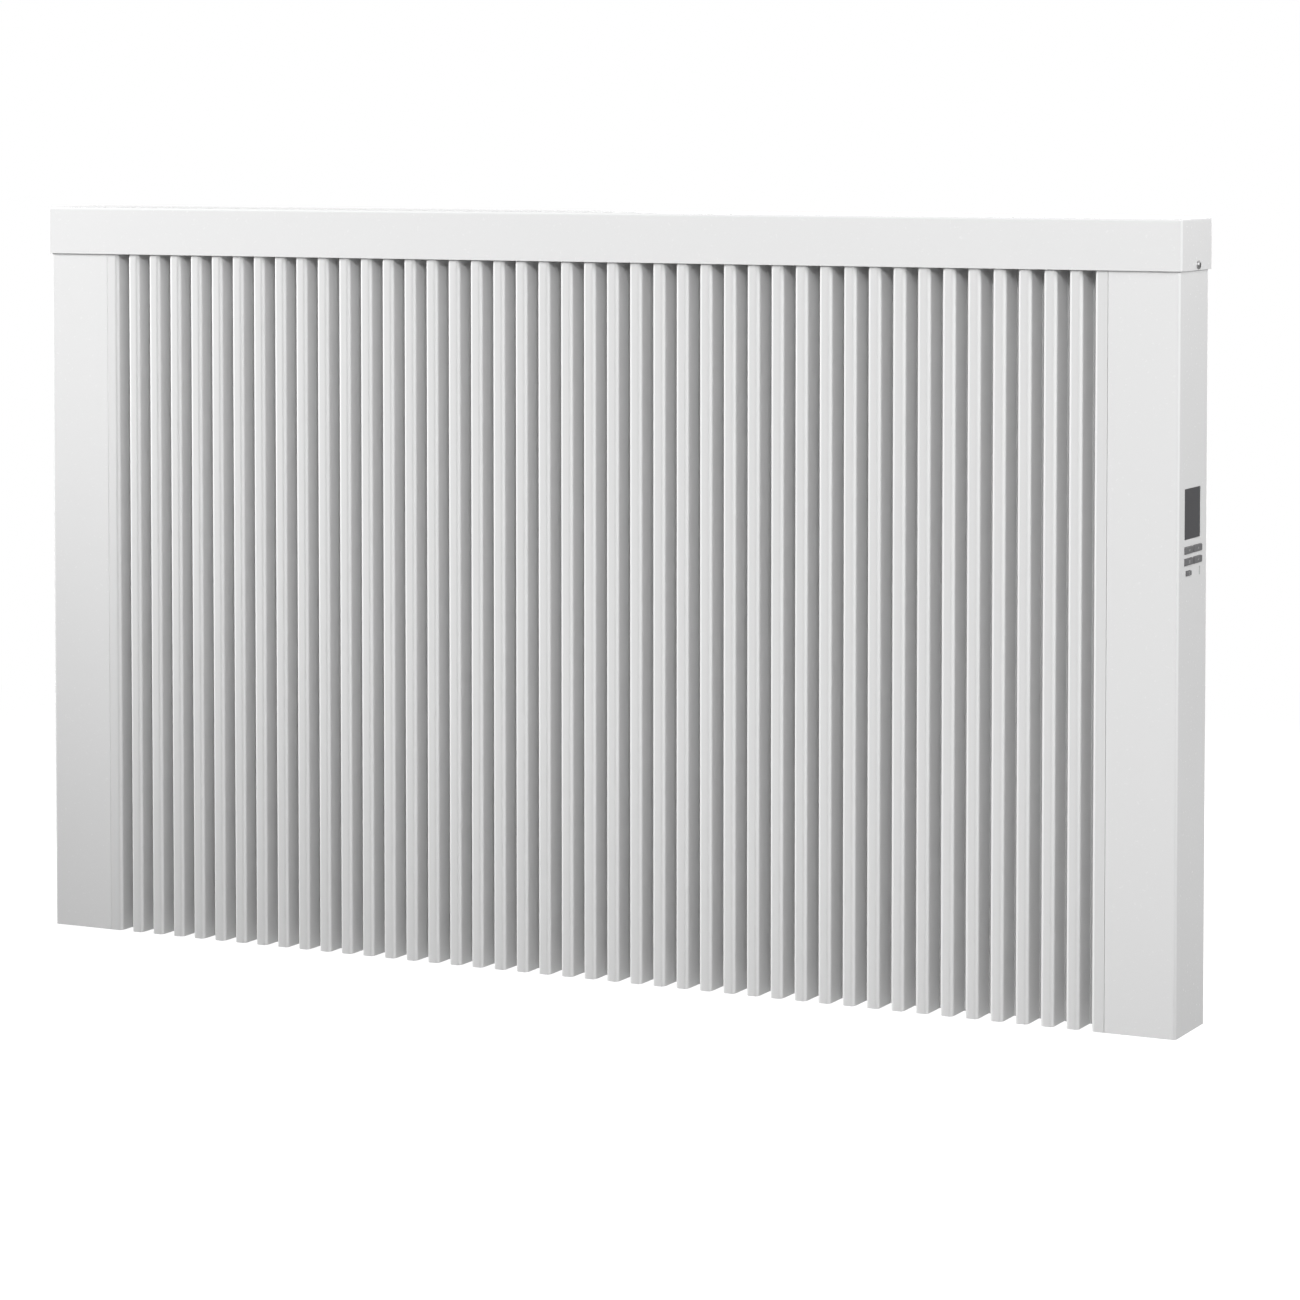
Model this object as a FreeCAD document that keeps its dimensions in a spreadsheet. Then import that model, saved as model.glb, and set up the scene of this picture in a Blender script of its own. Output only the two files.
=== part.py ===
import FreeCAD, Part
import Sketcher
import math
import os
import re

# Electric wall panel heater with a fluted convection front and a fireclay heat store.
# Frame: X along the width, Y out of the wall towards -Y, Z up. The origin is on the wall,
# in the middle of the four wall screws, which is half way up the heater.

V = FreeCAD.Vector
doc = FreeCAD.newDocument("PanelHeater")
sheet = doc.addObject("Spreadsheet::Sheet", "Sizes")

SIZES = [
    # whole heater
    ("overall_height", 610),
    ("casing_width", 1000),
    ("casing_depth", 65),
    ("wall_gap", 15),
    ("casing_sheet", 1.2),
    ("fold_radius", 2),
    ("lip_radius", 0.6),
    ("return_width", 20),
    ("fit_gap", 0.3),
    # fluted front
    ("column_width", 55),
    ("rib_pitch", 20.4),
    ("rib_width", 10.2),
    ("flute_depth", 25),
    ("rib_corner", 3),
    ("rib_sheet", 0.8),
    ("seam_gap", 0.2),
    # cap
    ("cap_height", 39),
    ("cap_sheet", 1.5),
    ("cap_clearance", 0.5),
    ("cap_fold_radius", 2),
    ("outlet_width", 7),
    ("outlet_length", 18),
    ("outlet_setback", 7),
    ("cap_screw_setback", 34.5),
    ("cap_screw_rise", 4),
    # screws and nuts
    ("screw_head_radius", 3.3),
    ("screw_head_height", 2.0),
    ("screw_rim_height", 1.2),
    ("screw_top_radius", 2.3),
    ("screw_shank_radius", 1.75),
    ("screw_length", 8),
    ("screw_clearance", 0.25),
    ("thread_clearance", 0.05),
    ("nut_flats", 7),
    ("nut_height", 2.6),
    ("casing_screw_rows", 3),
    ("casing_screw_margin", 50),
    ("casing_screw_inset", 10),
    # column bases
    ("base_sheet", 1.5),
    ("base_recess", 25),
    ("base_flange", 12),
    # rear panel and baffles
    ("pan_recess", 3),
    ("baffle_sheet", 1.0),
    ("baffle_flange", 11),
    # heating core
    ("core_inset", 70),
    ("core_rise", 35),
    ("core_drop", 54.5),
    ("plate_columns", 4),
    ("plate_rows", 2),
    ("plate_depth", 10),
    ("plate_gap", 0.5),
    ("tray_sheet", 1.0),
    ("tray_headroom", 1.0),
    ("insulation_depth", 10),
    ("element_radius", 3.25),
    ("element_clearance", 0.3),
    ("leg_spacing", 80),
    ("bend_offset", 5),
    ("cold_end", 8),
    ("bush_radius", 6),
    ("bush_flange", 2),
    ("bush_neck_radius", 4.6),
    ("stud_radius", 2),
    ("stud_length", 18),
    ("stud_nut_flats", 7),
    ("stud_nut_height", 3.2),
    # safety cut-out
    ("cutout_radius", 8),
    ("cutout_length", 9),
    ("cutout_tab_height", 7),
    ("cutout_tab_width", 4.8),
    ("cutout_tab_sheet", 0.8),
    ("cutout_tab_spacing", 9),
    ("cutout_drop", 65),
    # terminal block and earth
    ("block_width", 16),
    ("block_depth", 24),
    ("block_height", 35),
    ("block_level", 82),
    ("block_port_radius", 1.8),
    ("block_port_depth", 8),
    ("port_spacing", 6),
    ("earth_level", 42),
    ("service_line", 36),
    # wires
    ("wire_radius", 1.1),
    ("wire_bend", 9),
    # cable gland
    ("gland_bore_radius", 4.25),
    ("gland_thread_radius", 6),
    ("gland_flats", 15),
    ("gland_flange", 4),
    ("gland_inner_length", 8),
    ("gland_outer_length", 9),
    ("gland_cap_radius", 8),
    ("gland_cap_floor", 3),
    ("gland_nut_height", 4),
    ("gland_setback", 34),
    ("gland_inset", 26),
    # controls on the right side face
    ("display_setback", 13.5),
    ("display_width", 36.2),
    ("display_height", 38),
    ("display_level", 390.2),
    ("key_length", 18),
    ("key_height", 5),
    ("key_gap", 2.2),
    ("key_level", 363.2),
    ("key_row_drop", 8.6),
    ("small_key_length", 11),
    ("small_key_height", 3.5),
    ("small_key_setback", 16.7),
    ("key_clearance", 0.3),
    ("key_corner", 0.9),
    ("key_edge", 0.35),
    ("key_proud", 1.0),
    ("key_travel", 0.6),
    ("key_play", 0.2),
    ("key_flange_margin", 0.8),
    ("key_flange_depth", 1.2),
    ("key_stem_radius", 1.5),
    ("switch_gap", 0.1),
    ("light_setback", 47.9),
    ("light_width", 1.5),
    ("light_height", 6.5),
    ("light_proud", 0.2),
    ("light_flange", 0.8),
    # controller
    ("frame_depth", 2.2),
    ("frame_margin", 4),
    ("frame_end", 13),
    ("frame_bolt_inset", 5),
    ("bolt_radius", 1.5),
    ("bolt_length", 9),
    ("bolt_nut_flats", 5.5),
    ("bolt_nut_height", 2.4),
    ("window_recess", 0.3),
    ("window_clearance", 0.15),
    ("window_ledge", 1.5),
    ("ledge_depth", 1.0),
    ("board_setback", 12.4),
    ("board_depth", 1.6),
    ("board_clearance", 0.5),
    ("housing_wall", 1.6),
    ("housing_flange", 2),
    ("housing_depth", 31),
    ("housing_end", 4),
    ("post_radius", 2.2),
    ("post_inset", 5),
    ("switch_side", 6),
    ("switch_height", 3.4),
    ("plunger_radius", 1.75),
    ("plunger_height", 1.0),
    ("relay_length", 19),
    ("relay_width", 15),
    ("relay_height", 15),
    ("capacitor_radius", 4),
    ("capacitor_height", 12),
    ("connector_length", 15),
    ("connector_width", 8),
    ("connector_height", 10),
    # room sensor
    ("sensor_radius", 2.5),
    ("sensor_length", 16),
    ("sensor_flange_radius", 4.5),
    ("sensor_flange", 1.2),
    ("sensor_drop", 5),
    ("sensor_setback", 20),
    ("sensor_inset", 12.5),
    ("sensor_wire_radius", 0.9),
    # wall brackets
    ("bracket_spacing", 600),
    ("bracket_rise", 55),
    ("bracket_drop", 55),
    ("bracket_width", 40),
    ("bracket_sheet", 2),
    ("wall_screw_spacing", 380),
    ("wall_screw_radius", 3.5),
    ("hook_spacing", 300),
    ("hook_root", 10),
    ("hook_rise", 8),
    ("hook_tongue", 2.2),
    ("hook_clearance", 0.6),
    ("hook_lift", 2),
    ("buffer_width", 12),
    ("buffer_height", 18),
    ("buffer_inset", 15),
]

for row, (alias, number) in enumerate(SIZES, start=1):
    sheet.set(f"A{row}", alias)
    sheet.set(f"B{row}", str(number))
    sheet.setAlias(f"B{row}", alias)
doc.recompute()
ALIASES = {alias for alias, number in SIZES}


# ---------------------------------------------------------------- derived places, as expressions
# Names in capitals hold expressions on the sheet's sizes. Levels are Z, stations are Y or X.

HALF_WIDTH = "(casing_width / 2)"
TOP = "(overall_height / 2)"
BOTTOM = "(-overall_height / 2)"
FRONT = "(-wall_gap - casing_depth)"
REAR = "(-wall_gap)"
CASING_TOP = f"({TOP} - cap_sheet - fit_gap)"

FLUTE_COUNT = "floor((casing_width - 2 * column_width - rib_width - 2 * seam_gap) / rib_pitch)"
RIB_COUNT = f"({FLUTE_COUNT} + 1)"
RIB_SPAN = f"(rib_pitch * {FLUTE_COUNT})"
FLUTED_HALF = f"(rib_pitch * {RIB_COUNT} / 2)"
FLOOR = f"({FRONT} + flute_depth)"
FLOOR_BACK = f"({FLOOR} + rib_sheet)"
LIP = f"({RIB_SPAN} / 2 + rib_width / 2 + seam_gap)"

PAN_BACK = f"({REAR} - casing_sheet)"
PAN_FRONT = f"({PAN_BACK} - casing_sheet)"
PAN_BOTTOM = f"({BOTTOM} + pan_recess)"
PAN_TOP = f"({CASING_TOP} - pan_recess)"
CASING_SCREW_PITCH = (f"((overall_height - cap_height - 2 * casing_screw_margin)"
                      f" / (casing_screw_rows - 1))")

CORE_HALF = f"({HALF_WIDTH} - core_inset)"
CORE_WIDTH = f"(2 * {CORE_HALF} - 2 * fit_gap)"
CORE_BOTTOM = f"({BOTTOM} + core_rise)"
CORE_HEIGHT = "(overall_height - core_rise - core_drop)"
PLATE_HEIGHT = f"(({CORE_HEIGHT} + plate_gap) / plate_rows - plate_gap)"
PLATES_FRONT = f"({FLOOR_BACK} + fit_gap)"
ELEMENT_LINE = f"({PLATES_FRONT} + plate_depth)"
PLATES_BACK = f"({ELEMENT_LINE} + plate_depth)"
TRAY_BACK = f"({PLATES_BACK} + tray_sheet)"
BAFFLE_OUTER = f"({CORE_HALF} + baffle_sheet)"
LEG_LOW = f"({CORE_BOTTOM} + {PLATE_HEIGHT} / 2 - leg_spacing / 2)"
ROW_PITCH = f"({PLATE_HEIGHT} + plate_gap)"

TERMINAL_END = f"({BAFFLE_OUTER} + cold_end + stud_length)"
SERVICE_LINE = "(-service_line)"
CUTOUT_END = f"({BAFFLE_OUTER} + cutout_length + cutout_tab_height)"
BLOCK_BOTTOM = f"({BOTTOM} + block_level - block_height / 2)"
BLOCK_TOP = f"({BOTTOM} + block_level + block_height / 2)"
PORT_X = f"({BAFFLE_OUTER} + block_width / 2)"

SHEET_INNER = f"({HALF_WIDTH} - casing_sheet)"
FRAME_INNER = f"({SHEET_INNER} - frame_depth)"
FRAME_FRONT = f"({FRONT} + display_setback - frame_margin)"
KEYS_REAR = f"({FRONT} + display_setback + 2 * key_length + key_gap)"
FRAME_REAR = f"({KEYS_REAR} + frame_margin)"
DISPLAY_MID = f"({BOTTOM} + display_level)"
DISPLAY_TOP = f"({DISPLAY_MID} + display_height / 2)"
DISPLAY_BOTTOM = f"({DISPLAY_MID} - display_height / 2)"
DISPLAY_FRONT = f"({FRONT} + display_setback)"
DISPLAY_REAR = f"({DISPLAY_FRONT} + display_width)"
KEY_TOP_ROW = f"({BOTTOM} + key_level)"
KEY_MID_ROW = f"({KEY_TOP_ROW} - key_row_drop)"
KEY_LOW_ROW = f"({KEY_MID_ROW} - key_row_drop)"
KEY_FRONT_MID = f"({DISPLAY_FRONT} + key_length / 2)"
KEY_REAR_MID = f"({KEY_FRONT_MID} + key_length + key_gap)"
SMALL_KEY_MID = f"({FRONT} + small_key_setback + small_key_length / 2)"
LIGHT_MID = f"({FRONT} + light_setback)"
FRAME_TOP = f"({DISPLAY_TOP} + frame_end)"
FRAME_BOTTOM = f"({KEY_LOW_ROW} - small_key_height / 2 - frame_end)"
BOX_TOP = f"({DISPLAY_TOP} + housing_end)"
BOX_BOTTOM = f"({KEY_LOW_ROW} - small_key_height / 2 - housing_end)"
BOARD_FRONT = f"({HALF_WIDTH} - board_setback)"
BOARD_BACK = f"({BOARD_FRONT} - board_depth)"
HOUSING_INNER = f"({HALF_WIDTH} - housing_depth)"
HOUSING_BACK = f"({HOUSING_INNER} - housing_wall)"
BOLT_FRONT = f"({FRAME_FRONT} + frame_bolt_inset)"
BOLT_REAR = f"({FRAME_REAR} - frame_bolt_inset)"
BOLT_TOP = f"({FRAME_TOP} - frame_bolt_inset)"
BOLT_BOTTOM = f"({FRAME_BOTTOM} + frame_bolt_inset)"
FLANGE_BACK = f"({FRAME_INNER} - key_play - key_flange_depth)"
PLUNGER_TOP = f"({BOARD_FRONT} + switch_height + plunger_height)"
BOARD_MID_Y = f"(({FRAME_FRONT} + {FRAME_REAR}) / 2)"
BOARD_MID_Z = f"(({BOX_BOTTOM} + {BOX_TOP}) / 2)"

BASE_FLOOR = f"({BOTTOM} + base_recess)"
GLAND_X = f"({HALF_WIDTH} - gland_inset)"
GLAND_Y = f"({FRONT} + gland_setback)"
SENSOR_X = f"({HALF_WIDTH} - sensor_inset)"
SENSOR_Y = f"({FRONT} + sensor_setback)"

HOOK_X = "(bracket_spacing / 2 + bracket_width / 2 - bracket_sheet / 2)"
SLOT_HALF = "(bracket_sheet / 2 + hook_clearance)"
SLOT_DROP = "(hook_root + hook_rise + hook_lift)"
BRACKET_BOTTOM = f"({BOTTOM} + bracket_rise)"
BRACKET_TOP = f"({TOP} - bracket_drop)"

KEYS = {
    "key_down": (KEY_FRONT_MID, KEY_TOP_ROW, "key_length", "key_height"),
    "key_up": (KEY_REAR_MID, KEY_TOP_ROW, "key_length", "key_height"),
    "key_mode": (KEY_FRONT_MID, KEY_MID_ROW, "key_length", "key_height"),
    "key_confirm": (KEY_REAR_MID, KEY_MID_ROW, "key_length", "key_height"),
    "key_standby": (SMALL_KEY_MID, KEY_LOW_ROW, "small_key_length", "small_key_height"),
}


# ---------------------------------------------------------------- modelling helpers

def sized(expression):
    """Point every size name of an expression at the spreadsheet."""
    def swap(match):
        word = match.group(0)
        return f"Sizes.{word}" if word in ALIASES else word
    return re.sub(r"[A-Za-z_][A-Za-z_0-9]*", swap, str(expression))


def value(expression):
    """The present value of an expression on the sheet's sizes."""
    return float(sheet.evalExpression(sized(expression)))


def bind(thing, name, expression):
    thing.setExpression(name, sized(expression))


def new_body(label, x="0", y="0", z="0"):
    body = doc.addObject("PartDesign::Body", label)
    body.Label = label
    for axis, expression in (("x", x), ("y", y), ("z", z)):
        bind(body, f"Placement.Base.{axis}", expression)
    return body


def origin_part(body, role):
    return next(part for part in body.Origin.OriginFeatures if part.Role == role)


def rectangle(x1, y1, x2, y2):
    return [(x1, y1), (x2, y1), (x2, y2), (x1, y2)]


def centred(x, y, width, height):
    return rectangle(f"{x} - {width} / 2", f"{y} - {height} / 2",
                     f"{x} + {width} / 2", f"{y} + {height} / 2")


def hexagon(x, y, flats):
    """Corners of a hexagon with flats facing along Y of the sketch."""
    far = f"{flats} / sqrt(3)"
    near = f"{flats} / sqrt(12)"
    return [(f"{x} + {far}", y), (f"{x} + {near}", f"{y} + {flats} / 2"),
            (f"{x} - {near}", f"{y} + {flats} / 2"), (f"{x} - {far}", y),
            (f"{x} - {near}", f"{y} - {flats} / 2"), (f"{x} + {near}", f"{y} - {flats} / 2")]


def pin_point(sketch, geometry, spot, x, y, use_x=True, use_y=True):
    """Dimension a point of the sketch from its origin, bound to expressions."""
    if use_x:
        index = sketch.addConstraint(
            Sketcher.Constraint("DistanceX", -1, 1, geometry, spot, value(x)))
        bind(sketch, f"Constraints[{index}]", x)
    if use_y:
        index = sketch.addConstraint(
            Sketcher.Constraint("DistanceY", -1, 1, geometry, spot, value(y)))
        bind(sketch, f"Constraints[{index}]", y)


def add_circle(sketch, x, y, radius):
    index = sketch.addGeometry(Part.Circle(V(value(x), value(y), 0), V(0, 0, 1), value(radius)))
    pin_point(sketch, index, 3, x, y)
    size = sketch.addConstraint(Sketcher.Constraint("Radius", index, value(radius)))
    bind(sketch, f"Constraints[{size}]", radius)


def add_chain(sketch, corners, closed=True):
    """Join corners by lines. A corner's third item (x, y, turn) makes the run that leaves it
    an arc about that centre, anticlockwise for a turn of 1 and clockwise for -1."""
    count = len(corners)
    places = [V(value(corner[0]), value(corner[1]), 0) for corner in corners]
    runs = count if closed else count - 1
    first = sketch.GeometryCount
    ends = []
    slack = {}
    for run in range(runs):
        start = places[run]
        stop = places[(run + 1) % count]
        if len(corners[run]) == 2:
            sketch.addGeometry(Part.LineSegment(start, stop))
            ends.append((1, 2))
            continue
        centre_x, centre_y, turn = corners[run][2]
        centre = V(value(centre_x), value(centre_y), 0)
        begin = math.atan2(start.y - centre.y, start.x - centre.x)
        finish = math.atan2(stop.y - centre.y, stop.x - centre.x)
        ends.append((1, 2) if turn > 0 else (2, 1))
        low, high = (begin, finish) if turn > 0 else (finish, begin)
        if high <= low:
            high += 2 * math.pi
        circle = Part.Circle(centre, V(0, 0, 1), start.sub(centre).Length)
        sketch.addGeometry(Part.ArcOfCircle(circle, low, high))
        across = abs(stop.x - centre.x) >= abs(stop.y - centre.y)
        slack[(run + 1) % count] = (not across, across)
    for run in range(runs):
        follower = (run + 1) % runs
        if closed or follower:
            sketch.addConstraint(Sketcher.Constraint(
                "Coincident", first + run, ends[run][1], first + follower, ends[follower][0]))
        if len(corners[run]) == 3:
            pin_point(sketch, first + run, 3, corners[run][2][0], corners[run][2][1])
    for corner in range(count):
        run = min(corner, runs - 1)
        spot = ends[run][0] if corner < runs else ends[run][1]
        use_x, use_y = slack.get(corner, (True, True))
        pin_point(sketch, first + run, spot, corners[corner][0], corners[corner][1], use_x, use_y)


def new_sketch(body, name, role, loops=(), circles=(), offset="0", chain=None):
    """A sketch on an origin plane, moved along the plane's normal by the offset."""
    sketch = body.newObject("Sketcher::SketchObject", f"{body.Label}_{name}")
    sketch.AttachmentSupport = (origin_part(body, role), [""])
    sketch.MapMode = "FlatFace"
    bind(sketch, "AttachmentOffset.Base.z", offset)
    for loop in loops:
        add_chain(sketch, loop)
    for circle in circles:
        add_circle(sketch, *circle)
    if chain:
        add_chain(sketch, chain, closed=False)
    return sketch


def feature(body, kind, name, profile, **settings):
    item = body.newObject(f"PartDesign::{kind}", f"{body.Label}_{name}")
    item.Profile = profile
    for key, setting in settings.items():
        setattr(item, key, setting)
    return item


def pad(body, name, profile, length, reverse=False, middle=False):
    item = feature(body, "Pad", name, profile, Reversed=reverse)
    if middle:
        item.SideType = "Symmetric"
    bind(item, "Length", length)
    return item


def pocket(body, name, profile, length, reverse=False, middle=False):
    """Cut a profile, and make sure that it does remove material."""
    doc.recompute()
    before = body.Shape.Volume
    item = feature(body, "Pocket", name, profile, Reversed=reverse)
    if middle:
        item.SideType = "Symmetric"
    bind(item, "Length", length)
    doc.recompute()
    if not body.Shape.Volume < before:
        raise RuntimeError(f"{item.Name} cuts nothing")
    return item


def revolve(body, name, profile, axis, angle=360):
    return feature(body, "Revolution", name, profile, ReferenceAxis=(profile, [axis]), Angle=angle)


def pattern(body, name, originals, role, spacing, count, second=None):
    """Repeat features along one origin axis, or along two with (role, spacing, count)."""
    item = body.newObject("PartDesign::LinearPattern", f"{body.Label}_{name}")
    item.Originals = originals
    item.Direction = (origin_part(body, role), [""])
    bind(item, "Length", f"{spacing} * ({count} - 1)")
    bind(item, "Occurrences", count)
    if second:
        role, spacing, count = second
        item.Direction2 = (origin_part(body, role), [""])
        bind(item, "Length2", f"{spacing} * ({count} - 1)")
        bind(item, "Occurrences2", count)
    body.Tip = item
    return item


def mirror(body, name, originals, role):
    item = body.newObject("PartDesign::Mirrored", f"{body.Label}_{name}")
    item.Originals = originals
    item.MirrorPlane = (origin_part(body, role), [""])
    body.Tip = item
    return item


def straight_edges(shape, axis, spots):
    """Names of the straight edges along an axis (0, 1 or 2) through spots in the other two."""
    others = [number for number in range(3) if number != axis]
    places = [(value(first), value(second)) for first, second in spots]
    names = []
    for index, edge in enumerate(shape.Edges, start=1):
        if not isinstance(edge.Curve, Part.Line) or abs(edge.Curve.Direction[axis]) < 0.999:
            continue
        point = edge.Vertexes[0].Point
        here = (point[others[0]], point[others[1]])
        if any(math.dist(here, place) < 0.01 for place in places):
            names.append(f"Edge{index}")
    return names


def round_over(body, name, edges, radius):
    """Fillet edges of the body's present shape."""
    if not edges:
        raise RuntimeError(f"{body.Label}: no edge to round for {name}")
    base = body.Tip
    item = body.newObject("PartDesign::Fillet", f"{body.Label}_{name}")
    item.Base = (base, edges)
    bind(item, "Radius", radius)
    return item


def fillet(body, name, axis, spots, radius):
    doc.recompute()
    return round_over(body, name, straight_edges(body.Tip.Shape, axis, spots), radius)


def rim_edges(body, axis, level):
    """Names of the edges that lie in the plane at a level of one axis (0, 1 or 2)."""
    doc.recompute()
    names = []
    for index, edge in enumerate(body.Tip.Shape.Edges, start=1):
        box = edge.BoundBox
        low = (box.XMin, box.YMin, box.ZMin)[axis]
        high = (box.XMax, box.YMax, box.ZMax)[axis]
        if abs(low - value(level)) < 0.01 and abs(high - value(level)) < 0.01:
            names.append(f"Edge{index}")
    return names


def run_rod(body, name, role, place, start, stop, radius):
    """A straight round run between two stations along the normal of an origin plane."""
    section = new_sketch(body, f"{name}_section", role, offset=start,
                         circles=[(*place, radius)])
    return pad(body, name, section, f"abs({stop} - {start})",
               reverse=value(stop) < value(start))


def elbow(body, name, line, x, z, radius, bend, across, up, angle=90):
    """Turn a round section about a hub above or below it, in a plane at Y = line. The section
    starts at station x and level z, heads towards across on X and curls towards up on Z."""
    section = new_sketch(body, f"{name}_section", "YZ_Plane", offset=x,
                         circles=[(line, z, radius)])
    hub = new_sketch(body, f"{name}_hub", "YZ_Plane", offset=x,
                     chain=[(line, f"{z} + {up} * {bend}"),
                            (f"{line} + {bend}", f"{z} + {up} * {bend}")])
    item = feature(body, "Revolution", name, section, ReferenceAxis=(hub, ["Edge1"]), Angle=angle)
    item.Reversed = across * up > 0
    return item


def bent_rod(body, name, line, x1, z1, x2, z2, radius, bend):
    """A round rod in a plane at Y = line: along X from the first end, then along Z."""
    across = 1 if value(x2) > value(x1) else -1
    up = 1 if value(z2) > value(z1) else -1
    turn_x = f"({x2} - {across} * {bend})"
    turn_z = f"({z1} + {up} * {bend})"
    run_rod(body, f"{name}_run", "YZ_Plane", (line, z1), x1, turn_x, radius)
    elbow(body, f"{name}_elbow", line, turn_x, z1, radius, bend, across, up)
    run_rod(body, f"{name}_rise", "XY_Plane", (x2, line), turn_z, z2, radius)


# ---------------------------------------------------------------- casing

def rib_fold(middle, square=False):
    """Section of one rib with half a flute on each side. A square rib's left side has no
    rounded shoulder."""
    half = "(rib_width / 2)"
    inner = f"({half} - rib_sheet)"
    shoulder = f"({FRONT} + rib_corner)"
    under = f"({FRONT} + rib_sheet)"
    left = f"({middle} - {half} + rib_corner)"
    right = f"({middle} + {half} - rib_corner)"
    if square:
        outer_turn = [(f"{middle} - {half}", FRONT)]
        inner_turn = [(f"{middle} - {inner}", under)]
    else:
        outer_turn = [(f"{middle} - {half}", shoulder, (left, shoulder, 1)), (left, FRONT)]
        inner_turn = [(left, under, (left, shoulder, -1)), (f"{middle} - {inner}", shoulder)]
    return [
        (f"{middle} - rib_pitch / 2", FLOOR), (f"{middle} - {half}", FLOOR), *outer_turn,
        (right, FRONT, (right, shoulder, 1)), (f"{middle} + {half}", shoulder),
        (f"{middle} + {half}", FLOOR), (f"{middle} + rib_pitch / 2", FLOOR),
        (f"{middle} + rib_pitch / 2", FLOOR_BACK), (f"{middle} + {inner}", FLOOR_BACK),
        (f"{middle} + {inner}", shoulder, (right, shoulder, -1)), (right, under),
        *inner_turn, (f"{middle} - {inner}", FLOOR_BACK),
        (f"{middle} - rib_pitch / 2", FLOOR_BACK),
    ]


def make_fluted_front():
    """One folded sheet of ribs with open flutes between them. Each end rib is square on its
    outer side, where it lies flush with the end column."""
    body = new_body("fluted_front")
    start = f"(-{RIB_SPAN} / 2)"
    height = f"{CASING_TOP} - {BOTTOM}"
    section = new_sketch(body, "rib_fold", "XY_Plane", offset=BOTTOM,
                         loops=[rib_fold(f"({start} + rib_pitch)")])
    rib = pad(body, "rib", section, height)
    pattern(body, "ribs", [rib], "X_Axis", "rib_pitch", f"({RIB_COUNT} - 2)")
    end_section = new_sketch(body, "end_fold", "XY_Plane", offset=BOTTOM,
                             loops=[rib_fold(start, square=True)])
    end_rib = pad(body, "end_rib", end_section, height)
    mirror(body, "end_ribs", [end_rib], "YZ_Plane")
    return body


def make_top_cap():
    """A tray folded from one sheet, open below, with one outlet slot over each flute."""
    body = new_body("top_cap")
    out = "(cap_clearance + cap_sheet)"
    side = f"({HALF_WIDTH} + {out})"
    front = f"({FRONT} - {out})"
    rear = f"({REAR} + {out})"
    outer = new_sketch(body, "outline", "XY_Plane", [rectangle(f"-{side}", front, side, rear)],
                       offset=f"{TOP} - cap_height")
    pad(body, "block", outer, "cap_height")
    corners = [(f"-{side}", front), (side, front), (side, rear), (f"-{side}", rear)]
    fillet(body, "corners", 2, corners, "cap_fold_radius")
    round_over(body, "fold", rim_edges(body, 2, TOP), "cap_fold_radius")
    inner = "(cap_clearance)"
    hollow = new_sketch(body, "hollow", "XY_Plane", offset=f"{TOP} - cap_height", loops=[rectangle(
        f"-{HALF_WIDTH} - {inner}", f"{FRONT} - {inner}",
        f"{HALF_WIDTH} + {inner}", f"{REAR} + {inner}")])
    pocket(body, "inside", hollow, "cap_height - cap_sheet", reverse=True)
    slot = new_sketch(body, "slot", "XY_Plane", offset=TOP, loops=[rectangle(
        f"-{RIB_SPAN} / 2 + rib_pitch / 2 - outlet_width / 2", f"{FRONT} + outlet_setback",
        f"-{RIB_SPAN} / 2 + rib_pitch / 2 + outlet_width / 2",
        f"{FRONT} + outlet_setback + outlet_length")])
    outlet = pocket(body, "outlet", slot, "2 * cap_sheet")
    pattern(body, "outlets", [outlet], "X_Axis", "rib_pitch", FLUTE_COUNT)
    screw_hole = new_sketch(body, "screw_hole", "YZ_Plane", circles=[
        (f"{FRONT} + cap_screw_setback", f"{TOP} - cap_height + cap_screw_rise",
         "screw_shank_radius + screw_clearance")])
    pocket(body, "screw_holes", screw_hole, f"2 * {side} + 2", middle=True)
    return body


def make_side_panel(label, side):
    """The end column's sheet: a lip beside the last rib, the front, the side and a rear return."""
    body = new_body(label)
    edge = f"({side} * {HALF_WIDTH})"
    inner = f"({side} * {SHEET_INNER})"
    lip = f"({side} * {LIP})"
    lip_inner = f"({side} * ({LIP} + casing_sheet))"
    turn = f"({side} * ({HALF_WIDTH} - return_width))"
    profile = [
        (lip, f"{FLOOR}"), (lip, FRONT), (edge, FRONT), (edge, REAR), (turn, REAR),
        (turn, PAN_BACK), (inner, PAN_BACK), (inner, f"{FRONT} + casing_sheet"),
        (lip_inner, f"{FRONT} + casing_sheet"), (lip_inner, FLOOR),
    ]
    section = new_sketch(body, "fold", "XY_Plane", [profile], offset=BOTTOM)
    pad(body, "sheet", section, f"{CASING_TOP} - {BOTTOM}")
    fillet(body, "outer_folds", 2, [(edge, FRONT), (edge, REAR)], "fold_radius")
    fillet(body, "inner_folds", 2, [(inner, PAN_BACK), (inner, f"{FRONT} + casing_sheet")],
           "fold_radius - casing_sheet")
    fillet(body, "lip_fold", 2, [(lip, FRONT)], "lip_radius")
    holes = new_sketch(body, "cap_screw_hole", "YZ_Plane", offset=edge, circles=[
        (f"{FRONT} + cap_screw_setback", f"{TOP} - cap_height + cap_screw_rise",
         "screw_shank_radius + screw_clearance")])
    pocket(body, "cap_screw_bore", holes, "4 * casing_sheet", middle=True)
    bores = new_sketch(body, "return_hole", "XZ_Plane", offset="wall_gap", circles=[
        (f"{side} * ({HALF_WIDTH} - casing_screw_inset)", f"{BOTTOM} + casing_screw_margin",
         "screw_shank_radius + screw_clearance")])
    bore = pocket(body, "return_bore", bores, "4 * casing_sheet", middle=True)
    pattern(body, "return_bores", [bore], "Z_Axis", CASING_SCREW_PITCH, "casing_screw_rows")
    return body


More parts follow.
